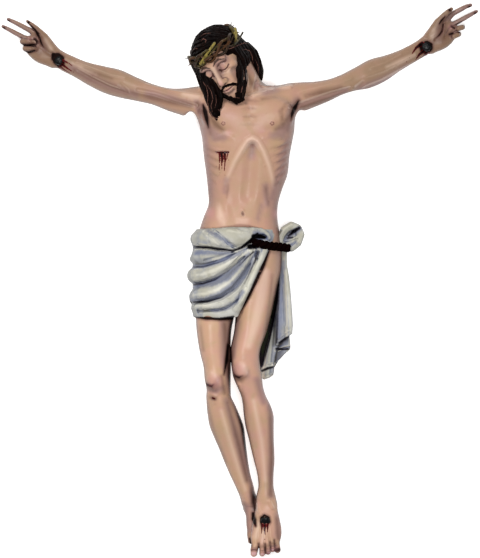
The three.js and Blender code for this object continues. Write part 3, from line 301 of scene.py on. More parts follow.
# %% Lines drawn on the carving
class Drawing:
    """Ridges and grooves over a block, seen from the front or the back."""

    SLAB = 64
    FADE = 1.5

    def __init__(self, block):
        self.block = block
        self.rise = np.zeros(block.depth.shape[:2], np.float32)
        self.dip = np.zeros(block.depth.shape[:2], np.float32)

    def line(self, points, width, height, power=2.0):
        """One line through (x, y) points, of one height or of one for each point."""
        points = np.asarray(points, float)
        if len(points) == 1:
            points = np.vstack([points, points + 0.01])
        heights = np.broadcast_to(np.asarray(height, float), len(points))
        cell, start = self.block.cell, self.block.start
        first = np.floor((points.min(axis=0) - width) / cell).astype(int) - start[:2]
        last = np.ceil((points.max(axis=0) + width) / cell).astype(int) - start[:2] + 1
        first, last = np.clip(first, 0, self.rise.shape), np.clip(last, 0, self.rise.shape)
        x = ((np.arange(first[0], last[0]) + start[0]) * cell)[:, None]
        y = ((np.arange(first[1], last[1]) + start[1]) * cell)[None, :]
        change = np.zeros((x.size, y.size))
        for a, b, ha, hb in zip(points[:-1], points[1:], heights[:-1], heights[1:]):
            line = b - a
            t = np.clip(((x - a[0]) * line[0] + (y - a[1]) * line[1]) / (line @ line), 0, 1)
            away = np.hypot(x - a[0] - line[0] * t, y - a[1] - line[1] * t)
            here = (ha + (hb - ha) * t) * np.clip(1 - (away / width) ** 2, 0, 1) ** power
            change = np.where(np.abs(here) > np.abs(change), here, change)
        where = (slice(first[0], last[0]), slice(first[1], last[1]))
        if heights.sum() > 0:
            self.rise[where] = np.maximum(self.rise[where], change)
        else:
            self.dip[where] = np.minimum(self.dip[where], change)

    def draw(self, *rows):
        """Lines through places in the picture: points, width, height and any power of each."""
        for points, *sizes in rows:
            self.line(seen(*points), *sizes)

    def carve(self, face=1):
        """Works the lines into the skin that faces the front (1) or the back (-1)."""
        change = self.rise + self.dip
        used = np.argwhere(np.abs(change) > 1e-3)
        if not len(used):
            return
        (x0, y0), (x1, y1) = used.min(axis=0), used.max(axis=0) + 1
        for x in range(x0, x1, self.SLAB):
            where = (slice(x, min(x + self.SLAB, x1)), slice(y0, y1))
            depth = self.block.depth[where]
            facing = np.zeros_like(depth)
            facing[:, :, 1:-1] = (depth[:, :, 2:] - depth[:, :, :-2]) / (2 * self.block.cell)
            facing = np.clip(facing * face * self.FADE, 0, 1)
            self.block.depth[where] = depth - change[where][:, :, None] * facing

# %% From the block to a mesh
def largest_part(ends, count):
    """Which points belong to the largest connected part, given the two ends of each edge."""
    label = np.arange(count)
    while True:
        low = np.minimum(label[ends[:, 0]], label[ends[:, 1]])
        nearer = label.copy()
        np.minimum.at(nearer, ends.T, low[None, :])
        nearer = nearer[nearer[nearer]]
        if np.array_equal(nearer, label):
            break
        label = nearer
    names, sizes = np.unique(label, return_counts=True)
    return label == names[sizes.argmax()]


def skin_of(block, name, evenness, keep_all=False):
    """Draws the skin of a block as a smooth mesh, with fewer faces where it is nearly flat."""
    width = BAND * block.cell
    band = np.clip(block.depth, -width, width)
    grid = openvdb.FloatGrid(width)
    grid.copyFromArray(band, tolerance=1e-6)
    points, triangles, quads = grid.convertToPolygons(0, adaptivity=evenness)
    triangles, quads = triangles.astype(np.int64), quads.astype(np.int64)
    if not keep_all:
        ends = np.vstack([
            faces[:, [k, k + 1]] for faces in (triangles, quads) for k in range(faces.shape[1] - 1)])
        kept = largest_part(ends, len(points))
        renumber = np.cumsum(kept) - 1
        triangles, quads = (renumber[faces[kept[faces[:, 0]]]] for faces in (triangles, quads))
        points = points[kept]
    corners = np.concatenate([triangles.ravel(), quads.ravel()]).astype(np.int32)
    starts = np.concatenate([np.arange(len(triangles)) * 3, len(triangles) * 3 + np.arange(len(quads)) * 4])
    mesh = bpy.data.meshes.new(name)
    mesh.vertices.add(len(points))
    mesh.vertices.foreach_set("co", metres((points + block.start) * block.cell).astype(np.float32).ravel())
    mesh.loops.add(len(corners))
    mesh.loops.foreach_set("vertex_index", corners)
    mesh.polygons.add(len(starts))
    mesh.polygons.foreach_set("loop_start", starts.astype(np.int32))
    mesh.polygons.foreach_set("use_smooth", np.ones(len(starts), bool))
    mesh.update(calc_edges=True)
    mesh.validate()
    piece = bpy.data.objects.new(name, mesh)
    bpy.context.scene.collection.objects.link(piece)
    print(name, len(points), "points,", len(triangles) + 2 * len(quads), "triangles")
    return piece


def mark(piece, name, values):
    """Keeps one number for each point of a piece, for its paint."""
    layer = piece.data.attributes.new(name, "FLOAT", "POINT")
    layer.data.foreach_set("value", np.asarray(values, np.float32))


def points_of(piece):
    """The points of a piece and their outward directions, one row each."""
    count = len(piece.data.vertices)
    points, normals = np.empty(count * 3, np.float32), np.empty(count * 3, np.float32)
    piece.data.vertices.foreach_get("co", points)
    piece.data.vertex_normals.foreach_get("vector", normals)
    return points.reshape(-1, 3), normals.reshape(-1, 3)


def carved(block, name, place=None, evenness=0.01, keep_all=False):
    """The skin of a block with its hollows marked, turned to its place."""
    piece = skin_of(block, name, evenness, keep_all)
    points, normals = points_of(piece)
    own = (points - START) / SHARE
    # how closed in each point lies: the paints darken the hollows with it as painted shade, and lighten the
    # ridges as painted highlight
    for layer, reaches in (("hollow", (3, 7, 14, 24)), ("fine_hollow", (1.2, 2.4))):
        closed = 0
        for reach in reaches:
            closed = closed + np.clip(1 - block.at(own + normals * reach) / reach, -0.5, 1.5) / len(reaches)
        mark(piece, layer, closed)
    if place is not None:
        turned = own @ np.array(place.to_3x3()).T + np.array(place.translation)
        piece.data.vertices.foreach_set("co", metres(turned).astype(np.float32).ravel())
        piece.data.update()
    return piece

# %% [markdown]
# The body is one carving from the pit of the neck to the toes. Only the loincloth hides a part
# of it, so the skin is made in two blocks that end under the cloth, where no join can be seen.
# The trunk, arms and legs are lofts, like the sections that a carver draws on the block.

# %% Trunk, arms and legs
trunk = loft("y", 2.4, [
    (886, 10, 60, 50, 29), (868, 13, 60, 76, 42), (850, 14, 61, 86, 49), (820, 14, 62, 88, 53),
    (788, 14, 62, 84, 53), (755, 12.5, 61, 79.5, 50), (720, 13, 60, 75, 44), (690, 9, 60, 68, 39),
    (664, 6, 60, 64, 37), (641, 1, 59, 68, 40), (605, -2, 57, 76, 47), (560, -4, 55, 81, 52),
    (528, -6, 55, 78, 51), (500, -8, 55, 60, 42), (474, -10, 55, 34, 26)])
trunk_masses = [
    rod([(14, 862, 56, 42), (6, 896, 70, 30), (-6, 925, 82, 27)]),
    rod([(4, 886, 60, 20), (-70, 860, 56, 22)]),
    rod([(20, 876, 60, 20), (60, 858, 57, 20), (92, 862, 56, 25)]),
    ball((-28, 836, 96), (44, 29, 21), 8),
    ball((58, 836, 95), (43, 29, 21), -8),
    rod([(-53, 800, 60, 12), (-68, 848, 58, 14)]),
    rod([(78, 800, 60, 14), (94, 852, 58, 15)]),
    ball((-42, 838, 18), (26, 34, 12), -14),
    ball((68, 838, 18), (26, 34, 12), 14)]
right_arm = loft("x", 2.1, [
    (-40, 850, 60, 33, 34), (-68, 853, 60, 33, 33), (-90, 856, 58, 29, 30), (-110, 858, 56, 24.5, 27),
    (-136, 863, 52, 20.7, 23), (-166, 873, 47, 18.8, 21), (-196, 883, 42, 21.7, 22.5),
    (-226, 893, 37, 25.4, 24), (-256, 901, 31, 24.5, 22), (-286, 912, 25, 20.7, 18.5),
    (-316, 927, 19, 17.9, 15), (-338, 938, 15.5, 17.4, 12.8), (-354, 948, 13, 17, 11.5)])
left_arm = loft("x", 2.1, [
    (62, 852, 60, 31, 34), (78, 857, 59, 31, 32), (94, 862, 58, 30, 31), (112, 866, 56, 28, 27),
    (139, 872, 52, 23.5, 23.5), (169, 881, 46, 19.8, 21), (192, 891, 42, 18.6, 21),
    (215, 901, 38, 20.7, 22.5), (245, 912, 33, 26, 24), (275, 923, 27, 23.5, 21),
    (305, 939, 21, 18.8, 16), (328, 952, 17, 17.6, 13.2), (354, 968, 13, 18, 11.5)])

right_leg = loft("y", 2.1, [
    (510, -42, 54, 40, 46), (474, -45, 60, 38, 43), (427, -49, 73, 32, 37), (381, -46, 88, 27.5, 32),
    (359, -43, 95, 24.8, 29), (336, -42, 101, 23.6, 27), (314, -40, 102, 21.8, 25.5),
    (302, -40, 99, 22.6, 25),
    (291, -37, 95, 25, 27), (268, -31, 86, 29, 30), (246, -25, 78, 31, 30), (223, -19, 70, 28, 27),
    (201, -13, 63, 24.5, 23.5), (178, -7, 57, 21.5, 20.5), (155, 0, 51, 18.6, 18), (133, 8, 46, 16.5, 17),
    (112, 15, 40, 14.5, 18), (98, 20, 34, 15, 18)])
left_leg = loft("y", 2.1, [
    (600, 34, 50, 18, 26), (575, 36, 50, 26, 36), (552, 36, 51, 32, 42), (510, 33, 56, 36, 45),
    (474, 28, 64, 34, 42), (427, 20, 81, 30, 36), (381, 9, 100, 26.6, 30),
    (359, 11, 108, 26, 28), (336, 15, 112, 25.6, 26.5), (325, 18, 111, 23.8, 25.5),
    (302, 26, 106, 22.6, 25),
    (291, 30, 103, 24.4, 26.5), (268, 35, 97, 27, 28), (246, 37, 91, 25.6, 27), (223, 40, 86, 22.7, 24),
    (201, 43, 82, 20.7, 21), (178, 46, 79, 18, 18.5), (155, 48, 76, 14.4, 16.5), (133, 49, 74, 13.4, 17),
    (112, 49, 72, 16, 18), (98, 50, 70, 17.5, 18)])
right_knee = ball((-43, 334, 118), (14, 18, 13))
left_knee = ball((12, 352, 126), (14, 18, 13))

# the two blocks meet under the rope and the rolled cloth, and hold the same forms there
ROPE_LINE = 585
BODY_CELL = 1.0
MUSCLE_JOIN = 11
torso = Block((-466, ROPE_LINE, -2), (462, 1056, 152), BODY_CELL)
legs, left_side = (Block((-106, -6, -2), (112, ROPE_LINE + 1, 152), BODY_CELL) for _ in range(2))
for block, forms in [(torso, [trunk, *trunk_masses, right_arm, left_arm]),
                     (legs, [trunk, right_leg, right_knee]), (left_side, [trunk, left_leg, left_knee])]:
    for form in forms:
        block.add(form, MUSCLE_JOIN)
legs.merge(left_side, 1.5)
torso.cut(ball((-92, 824, 44), (12, 22, 46)), 9)
torso.cut(ball((114, 822, 44), (9, 22, 46)), 9)
print("blocks", torso.depth.shape, legs.depth.shape)

# %% [markdown]
# Hands are the hardest part to carve, so they get their own small blocks. The palm is built
# over its four long bones and the ball of the thumb, and then the fingers are set on it. Two
# fingers are bent in toward the palm and two are stretched out, on both hands.

# %% Hands
right_bones = [
    [(-349, 946, 12, 11), (-386, 989, 13, 7.6)], [(-351, 942, 12, 11), (-395, 977, 12, 7.6)],
    [(-354, 938, 12, 10), (-398, 969, 11, 7.6)], [(-360, 938, 11, 8.5), (-395, 957, 11, 7.4)]]
right_fingers = [
    [(-386, 989, 14, 5.6), (-401, 997, 15, 4.1), (-420, 1007, 18, 3.6), (-430, 1012, 18, 3),
     (-440, 1016.5, 16, 2.4)],
    [(-395, 977, 13, 5.4), (-411, 982.5, 14, 3.9), (-428, 991.5, 17, 3.6), (-440, 998, 17, 3),
     (-450, 1003, 15, 2.4)],
    [(-398, 969, 12, 5.6), (-413, 974, 18, 4.6), (-412, 974, 27, 4.3), (-401, 973, 33, 4),
     (-391, 972, 30, 3.4)],
    [(-395, 957, 12, 5.6), (-408, 961, 17, 4.6), (-407, 961, 25, 4.2), (-397, 960, 30, 3.8),
     (-388, 959, 27, 3.3)],
    [(-360, 960, 17, 11), (-371, 982, 23, 7.2), (-386, 998, 27, 4.6), (-394, 1005, 28, 3.5),
     (-403, 1012, 28, 2)]]
left_bones = [
    [(354, 971, 12, 10.5), (390, 1015, 13, 7.6)], [(356, 968, 12, 10.5), (396, 1003, 12, 7.6)],
    [(359, 965, 12, 10), (398, 993, 11, 7.4)], [(365, 963, 11, 8.5), (397, 983, 11, 7.4)]]
left_fingers = [
    [(390, 1015, 14, 5.8), (405, 1028, 15, 4), (422, 1037, 18, 3.7), (430, 1041, 18, 3.1),
     (438, 1043.5, 16, 2.5)],
    [(396, 1003, 13, 5.4), (409, 1009.5, 14, 3.9), (428, 1020, 17, 3.6), (440, 1026.5, 17, 2.9),
     (449, 1031.5, 15, 2.4)],
    [(398, 993, 12, 5.4), (412, 999, 17, 4.3), (422.5, 1001, 24, 4.1), (420, 1000, 31, 3.9),
     (414, 998, 33, 3.4)],
    [(397, 983, 12, 5.6), (409, 986, 15, 4.6), (415, 988, 22, 4.1), (412, 986, 29, 3.9),
     (406, 984, 31, 3.4)],
    [(363, 985, 17, 11), (375, 1009, 23, 7.2), (387, 1023, 27, 4.9), (394, 1030, 28, 3.8),
     (401, 1035.5, 28, 2.4)]]


def hand(bones, fingers, thumb_ball, heel_ball, low, high):
    """A hand as its own block, with the palm rounded more softly than the fingers."""
    block = Block(low, high, torso.cell)
    for form in [rod(bone) for bone in bones] + [thumb_ball, heel_ball]:
        block.add(form, 10)
    for finger in fingers:
        block.add(rod(finger), 3.2)
    return block


torso.merge(hand(right_bones, right_fingers, ball((-369, 969, 17), (12, 22, 11), 34),
                 ball((-382, 947, 14), (18, 10, 11), -32), (-462, 915, -2), (-320, 1030, 50)), 6)
torso.merge(hand(left_bones, left_fingers, ball((373, 993, 17), (12, 22, 11), -32),
                 ball((386, 973, 14), (18, 10, 11), 32), (320, 940, -2), (460, 1058, 50)), 6)

# %% [markdown]
# The figure is lean, so ribs, collar bones and tendons show under the skin. The rib arch is the
# strongest line of the body: it stands over the hollow belly, its ridge catches the light, and a
# painted highlight runs along its edge.

# %% Lines of the chest, belly and arms
lines = Drawing(torso)
lines.draw(
    ([(248.5, 98), (249.5, 112), (250, 126)], 12, -1.4),
    ([(244.5, 131), (234, 134), (222, 132), (210, 124), (203, 112)], 13, (-1, -1.8, -1.8, -2.2, -3.6)),
    ([(255.5, 131), (264, 133.5), (275, 132), (286, 124), (292, 114)], 13, (-1, -1.8, -1.8, -2.4, -3.8)),
    ([(224.5, 186), (229, 176), (234.5, 163), (242, 150), (248, 142), (253, 139), (258, 142), (264, 152),
      (269.5, 166), (273, 180), (274, 190)], 9, (0.6, 1.9, 2.7, 3.3, 3.6, 3.8, 3.6, 3.2, 2.7, 1.8, 0.6),
      1.5),
    ([(252.5, 149), (251.5, 158), (250, 178), (248, 196)], 17, -4.2),
    ([(252.5, 148), (252, 156)], 7, -2.2),
    ([(250, 160), (247.5, 182), (245, 205)], 13, (-0.3, -1.2, -0.3)),
    ([(236, 188), (232, 204), (235, 218)], 12, (-0.6, -1.9, -0.8)),
    ([(266, 188), (262, 204), (258, 218)], 12, (-0.8, -2, -0.8)),
    ([(229, 196), (226.5, 210), (229, 222)], 11, (0.3, 1.3, 0.6)),
    ([(243.2, 213.2), (243.6, 215)], 4.2, -4.6),
    ([(243.4, 210.6), (243.6, 212)], 4, 1.2),
    ([(248, 93)], 11, -6),
    ([(243.5, 98), (228, 92.5), (212, 89), (201, 88)], 6.5, 3),
    ([(253, 96), (264, 92.5), (276, 88), (291, 86.5)], 6.5, 3),
    ([(226, 100), (238, 103.5)], 11, (-0.5, -1.6)),
    ([(261, 100), (276, 97)], 11, (-1.6, -0.6)),
    ([(249, 94), (247, 84), (246, 74)], 6, 3.4),
    ([(254, 92), (257, 82), (259, 73)], 6, -2.6),
    ([(262, 88), (268, 84), (275, 88)], 7, -2.4))
for step in range(4):
    y = 98 + 8.0 * step
    lines.line(seen((238, y + 1.5), (249, y - 0.5), (261, y + 1.0)), 6.5, (0.2, 1.1, 0.2))
for rib in range(6):
    y = 141 + 7.2 * rib
    inner = 271.5 + 1.3 * rib
    outer = 290 - 1.5 * rib
    lines.draw(
        ([(inner, y + 5.5), ((inner + outer) / 2, y + 3.2), (outer, y - 2)], 6, (0.6, 1.5, 1.2), 1.4),
        ([(inner + 1, y + 9), ((inner + outer) / 2, y + 6.8), (outer, y + 1.6)], 3.8, (-0.3, -0.8, -0.5),
         1.5))
    inner = 231 - 2.2 * rib
    outer = 202 + 1.2 * rib
    lines.line(seen((inner, y + 5.5), ((inner + outer) / 2, y + 3.2), (outer, y - 2)), 6.5, (0.4, 1.1, 0.7))
lines.draw(
    ([(216, 138), (223, 134.5), (232, 137)], 9, 1.8),
    ([(264, 137), (273, 134.5), (281, 138)], 9, 1.8))
for x, y in ((223.8, 124), (272.4, 124)):
    lines.draw(
        ([(x, y)], 6.2, 1),
        ([(x, y)], 2.8, 2))
lines.line(seen((217, 152.6), (222.5, 152.2), (229.4, 152.4)), 2.6, -2.2, 1.2)

# the muscles and tendons of the arms
lines.draw(
    ([(196, 106), (176, 100), (156, 93), (138, 89.5)], 6, -2.6),
    ([(204, 96), (184, 93), (163, 88), (146, 84)], 5, 1.4),
    ([(121, 84.5), (127, 90)], 7, -2.6),
    ([(124, 78), (110, 75), (92, 68), (76, 62)], 5, 1.6),
    ([(128, 92), (110, 86), (92, 77), (77, 68.5)], 4.5, -1.8),
    ([(118, 70), (104, 66), (88, 60.5)], 4.5, 1.3),
    ([(291, 108), (312, 100), (332, 93), (350, 88)], 6, -2.6),
    ([(300, 93), (318, 88.5), (338, 83), (352, 78)], 5, 1.4),
    ([(364, 82), (358, 87)], 7, -2.6),
    ([(366, 76), (384, 70), (402, 60.5), (416, 53.5)], 5, 1.6),
    ([(364, 88), (384, 80), (402, 70), (418, 61)], 4.5, -1.8),
    ([(372, 68), (388, 62), (402, 54)], 4.5, 1.3))

# the palms: their creases, and the hollow that runs up from the wrist
RIGHT_CREASE = [(38, 34.1), (38.6, 39), (40.2, 43.9), (43.5, 48.8)]
LEFT_CREASE = [(445.3, 23.7), (443.7, 30.8), (441.3, 33.6), (437, 37.9)]
lines.draw(
    ([*RIGHT_CREASE, (48.2, 52.1)], 4.5, -1.6), ([(27.5, 36.5), (32, 41), (34, 46)], 4.5, -1.6),
    (LEFT_CREASE, 4.5, -1.6), ([(452, 26.5), (449, 32), (447, 36)], 4.5, -1.6),
    ([(51, 53), (42, 45), (33, 39.5)], 8, -2.6), ([(424, 43), (433, 35), (443, 27)], 8, -2.6))
lines.carve(1)

# the groove of the spine and the edges of the shoulder blades
back_lines = Drawing(torso)
back_lines.draw(
    ([(247.5, 92), (247, 140), (245, 200), (243, 250)], 13, -5),
    ([(214, 128), (208, 108), (224, 96)], 8, 3), ([(280, 128), (288, 108), (272, 96)], 8, 3))
back_lines.carve(-1)

# %% [markdown]
# The legs lie knee beside knee, and the left foot is set over the instep of the right one, so that
# one nail holds both. The toes are set on one by one, and tendons fan out to them.

# %% Feet
rear_foot = Block((-12, -6, -2), (70, 150, 100), BODY_CELL)
for form in [
        loft("y", 2.2, [(126, 10, 43, 8, 11), (112, 17, 40, 13.5, 18), (92, 22, 34, 15, 20),
                        (74, 28, 41, 16, 16), (56, 30.5, 50, 17, 13), (40, 33.5, 58, 17, 10),
                        (28, 36, 62, 16, 8)]),
        ball((22, 92, 17), (15, 20, 18)),
        rod([(25.5, 40, 60, 7.5), (25, 30, 63, 6)])]:
    rear_foot.add(form, 9)

front_foot = Block((4, -10, 20), (96, 150, 130), BODY_CELL)
for form in [
        loft("y", 2.2, [(138, 49, 74, 7, 10), (122, 49, 74, 14, 17), (104, 50, 73, 18, 19),
                        (88, 50, 76, 20, 17.5), (70, 50, 82, 23.5, 15), (54, 50, 87, 26, 13),
                        (42, 49.5, 90, 26, 11), (30, 48, 92, 24, 9), (24, 47, 93, 21, 7.5)]),
        ball((50, 100, 58), (16, 19, 15))]:
    front_foot.add(form, 8)
toes = [
    [(31, 42, 90, 8.6), (29, 24, 95, 6.2), (26.6, 15, 97, 6.4), (26, 7.5, 95, 5.4)],
    [(40, 38, 93, 5.6), (41.4, 26, 99, 4.5), (41.6, 15, 98, 4.3), (41.8, 7.5, 93, 4.6)],
    [(49, 38, 93, 5.4), (51, 27, 99, 4.4), (52.4, 17, 97, 4.1), (52.6, 10.5, 92, 4.5)],
    [(57, 40, 91, 5.2), (59, 30, 96, 4.2), (61, 21, 93, 4), (61.4, 15, 88, 4.4)],
    [(65, 44, 87, 5.6), (67.5, 32, 91, 4.6), (70, 22, 89, 4.5), (70.5, 14, 84, 5.2)]]
for toe in toes:
    front_foot.add(rod(toe), 2.6)
legs.merge(rear_foot, 5).merge(front_foot, 5)

lines = Drawing(legs)
lines.draw(
    ([(209, 330), (211, 350), (212, 366)], 13, 1.2),
    ([(248, 305), (247, 330), (244, 352)], 14, 1.2))
for x, y in ((215, 383), (239, 372)):
    lines.draw(
        ([(x - 6.5, y - 3), (x - 5.5, y + 6), (x + 1, y + 9.5), (x + 6, y + 5)], 6,
         (-0.4, -1.6, -1.8, -0.6)),
        ([(x, y + 12), (x + 0.6, y + 18)], 8, 1.6))
lines.draw(
    ([(220, 400), (229, 430), (242, 474), (249, 502)], 10, (0.8, 1.5, 1.6, 1.2), 1.6),
    ([(226, 404), (233, 430), (243, 462)], 8, -0.9),
    ([(245, 392), (256, 420), (263, 460), (266, 500)], 10, (0.8, 1.5, 1.6, 1.2), 1.6),
    ([(256, 396), (265, 424), (269, 452)], 8, -0.9),
    ([(258, 503), (259, 510), (263, 516)], 5, 2),
    ([(270, 501), (273, 507)], 6, 2.4))
for x, toe_x in ((258, 255.5), (262.5, 262.6), (266.5, 268), (270, 272)):
    lines.line(seen((264, 508), (x, 522), ((x + toe_x) / 2, 532), (toe_x, 541)), 3.6, (0.2, 1, 1.2, 0.6),
               1.3)
for x, y in ((259, 541), (265, 541), (270, 539.5), (274.6, 537.5)):
    lines.line(seen((x, y - 2), (x + 0.2, y + 3)), 2.8, (-0.4, -1.8))
for x, y, wide in ((254.3, 551.4, 3.6), (262.7, 552.5, 2.2), (268.9, 551.2, 2.2), (273.2, 548, 2),
                   (276.8, 548.4, 2.4)):
    lines.line(seen((x - wide * 0.5, y - 1.8), (x + wide * 0.5, y - 1.8)), 1.6, -0.7, 1)
lines.carve(1)

# %% [markdown]
# The head is carved in its own axes, looking straight at the face, and only then leaned on the
# right shoulder and bowed. So the face stays even: the eyes lie half way between chin and crown,
# and the nose takes a third of the space from brow to chin. The eyes are closed and the face calm.

# %% Place of the head
HEAD_MIDDLE = (-36, 935, 106)
HEAD_SIZE = 0.99
LEAN, BOW, TURN = 38, 17, -27


def turned_by(degrees, axis):
    """A turn about one axis."""
    return Matrix.Rotation(math.radians(degrees), 4, axis)


HEAD_PLACE = (Matrix.Translation(HEAD_MIDDLE) @ turned_by(LEAN, "Z") @ turned_by(BOW, "X")
              @ turned_by(TURN, "Y") @ Matrix.Scale(HEAD_SIZE, 4))


def mirrored(*rows):
    """Rows that start with a list of (x, y) points, for both sides of the face."""
    return [([(side * x, y) for x, y in points], *sizes) for side in (-1, 1) for points, *sizes in rows]


print("head stands", [round(v, 1) for v in HEAD_PLACE.translation], "turned", (LEAN, BOW, TURN))

# %% Face
FINE_CELL = 0.7
HAIR_CELL = 0.8
face = Block((-50, -86, -70), (50, 70, 78), FINE_CELL)
for form in [ball((0, 8, -8), (40, 46, 52)), ball((0, -16, 10), (34, 48, 40)),
             ball((0, -42, 20), (26, 24, 30))]:
    face.add(form, 16)
face.add(ball((0, 26, 28), (27, 14, 13)), 12)
face.add(ball((0, 12, 42), (29, 6, 8)), 8)
for side in (-1, 1):
    face.add(ball((side * 26, -9, 33), (10, 8, 9)), 10)
    face.cut(ball((side * 17, 1.5, 53), (12.5, 8, 10)), 7)
    face.cut(ball((side * 30, -28, 42), (7, 13, 7)), 9)
face.add(rod([(0, 12, 46, 4.2), (0, 0, 51, 4), (0, -14, 57, 4.4), (0, -22.5, 60, 5.4)]), 5)
for side in (-1, 1):
    face.add(ball((side * 6.6, -23.5, 53.5), (4.2, 4, 6)), 3)
face.add(ball((0, -37, 44), (16, 12, 11)), 8)
face.add(ball((0, -57, 41), (12, 10, 11)), 8)
face.add(rod([(-12, -40.3, 47, 1.6), (-5, -38.2, 53.6, 2.6), (0, -38.8, 54.8, 2.2), (5, -38.2, 53.6, 2.6),
              (12, -40.3, 47, 1.6)]), 2)
face.add(rod([(-11, -42.8, 47, 1.7), (-5, -44.2, 53, 3), (0, -44.4, 54, 3.1), (5, -44.2, 53, 3),
              (11, -42.8, 47, 1.7)]), 2)
for side in (-1, 1):
    face.add(ball((side * 17, -1, 37.5), (10.5, 8.6, 9.5)), 2.2)
    face.cut(ball((side * 3.6, -28.2, 58), (1.9, 1.5, 3.5)), 1.5)
    face.add(rod([(side * 36, 9, -4, 3), (side * 40, 10, -10, 2.6), (side * 43, 2, -14, 2.6),
                  (side * 41, -8, -9, 2.4), (side * 37, -13, -3, 3.4)]), 2.5)

lines = Drawing(face)
for points, *sizes in mirrored(
        ([(8, -3), (12, -6), (17, -7.2), (22, -6.4), (27, -3.4)], 1.7, -1.5, 1),
        ([(8, -1.2), (12, -4.4), (17, -5.6), (22, -4.8), (26.5, -2)], 1.5, 0.7),
        ([(8.5, 4.5), (13, 7.8), (19, 8.2), (26, 5.2)], 2, -1.2),
        ([(9, -9), (16, -12.6), (24, -10.6)], 2.6, -0.8),
        ([(5, 12.5), (12, 16), (20, 16.2), (28, 12)], 2.8, 1),
        ([(9.5, -23), (13.5, -30), (17, -38)], 3.2, -1.1),
        ([(9.4, -20.5), (10, -26)], 1.6, -1)) + [
        ([(0, -30.5), (0, -35.5)], 2.4, -0.9),
        ([(-12.5, -41.2), (-5, -41.4), (0, -41.8), (5, -41.4), (12.5, -41.2)], 1.5, -1.8, 1),
        ([(-7, -50.2), (0, -51), (7, -50.2)], 4.2, -1.4),
        ([(-5, 25), (0, 26), (5, 25)], 5, 0.6)]:
    lines.line(points, *sizes)
lines.carve(1)
face.depth -= PAINT_DEPTH

# %% [markdown]
# Hair is carved as bundles of strands that lie beside each other like rope, and cut again with
# a narrow gouge. Each lock here is a tapering rod with fine grooves that wind slowly round it.

# %% Locks of hair
def lock(points, ridges=4, pitch=55.0, groove=0.9):
    """A tapering rod with winding grooves: how many, the length of one turn, and their depth."""
    points = np.asarray(points, float)
    size = points[:, 3:4] + groove
    steps = np.linalg.norm(np.diff(points[:, :3], axis=0), axis=1)
    starts = np.concatenate([[0], np.cumsum(steps)])

    def distance(x, y, z):
        nearest = None
        for a, b, start, step in zip(points[:-1], points[1:], starts, steps):
            line = (b[:3] - a[:3]) / step
            side = np.cross(line, (0.3, 0.2, 1))
            side /= np.linalg.norm(side)
            up = np.cross(side, line)
            dx, dy, dz = x - a[0], y - a[1], z - a[2]
            along = np.clip(dx * line[0] + dy * line[1] + dz * line[2], 0, step)
            px, py, pz = dx - line[0] * along, dy - line[1] * along, dz - line[2] * along
            turn = np.arctan2(px * up[0] + py * up[1] + pz * up[2],
                              px * side[0] + py * side[1] + pz * side[2])
            wave = np.abs(np.cos(0.5 * (ridges * turn + 2 * math.pi * (start + along) / pitch)))
            radius = a[3] + (b[3] - a[3]) * along / step + groove * (2 * wave - 1)
            d = np.sqrt(px * px + py * py + pz * pz) - radius
            nearest = d if nearest is None else np.minimum(nearest, d)
        return nearest * 0.9
    return (points[:, :3] - size).min(axis=0), (points[:, :3] + size).max(axis=0), distance

# %% Hair and beard round the face
hair = Block((-62, -92, -84), (62, 80, 80), HAIR_CELL)
SHELL_MIDDLE, SHELL_SIZE = (0, 12, -8), (43.5, 48, 57)
hair.add(ball(SHELL_MIDDLE, SHELL_SIZE))
hair.cut(ball((0, -38, 57), (35, 62, 46)), 5)


def on_skull(side, degrees, z):
    """A place on the hair, so many degrees down from the parting in the slice at z."""
    size = math.sqrt(max(1 - ((z - SHELL_MIDDLE[2]) / SHELL_SIZE[2]) ** 2, 0.09))
    turn = math.radians(degrees)
    return (side * SHELL_SIZE[0] * size * math.sin(turn),
            SHELL_MIDDLE[1] + SHELL_SIZE[1] * size * math.cos(turn), z)


# each wave of hair: degrees down from the parting, how far back it drifts, and its radius
HAIR_WAVES = 11
HAIR_FALL = [(4, 0, 3.8), (22, 2, 4.6), (40, 5, 5.2), (58, 9, 5.4), (76, 13, 5.6), (92, 17, 5.8)]
for side in (-1, 1):
    for wave in range(HAIR_WAVES):
        rows = []
        for step, (degrees, back, size) in enumerate(HAIR_FALL):
            z = max(34 - 9.2 * wave - back + 2.2 * math.sin(2.1 * step + 1.3 * wave), -60)
            rows.append((*on_skull(side, degrees, z), size))
        x, y, z, size = rows[-1]
        rows += [(x, y - 15, z - 4 + 2 * math.sin(wave), 5.8), (x * 0.97, y - 30, z - 7, 5.4),
                 (x * 0.85, y - 44, z - 9, 4.2)]
        hair.add(lock(rows, 5, 48 + 9 * (wave % 3), 1.0), 1.0)
print("hair block", hair.depth.shape)

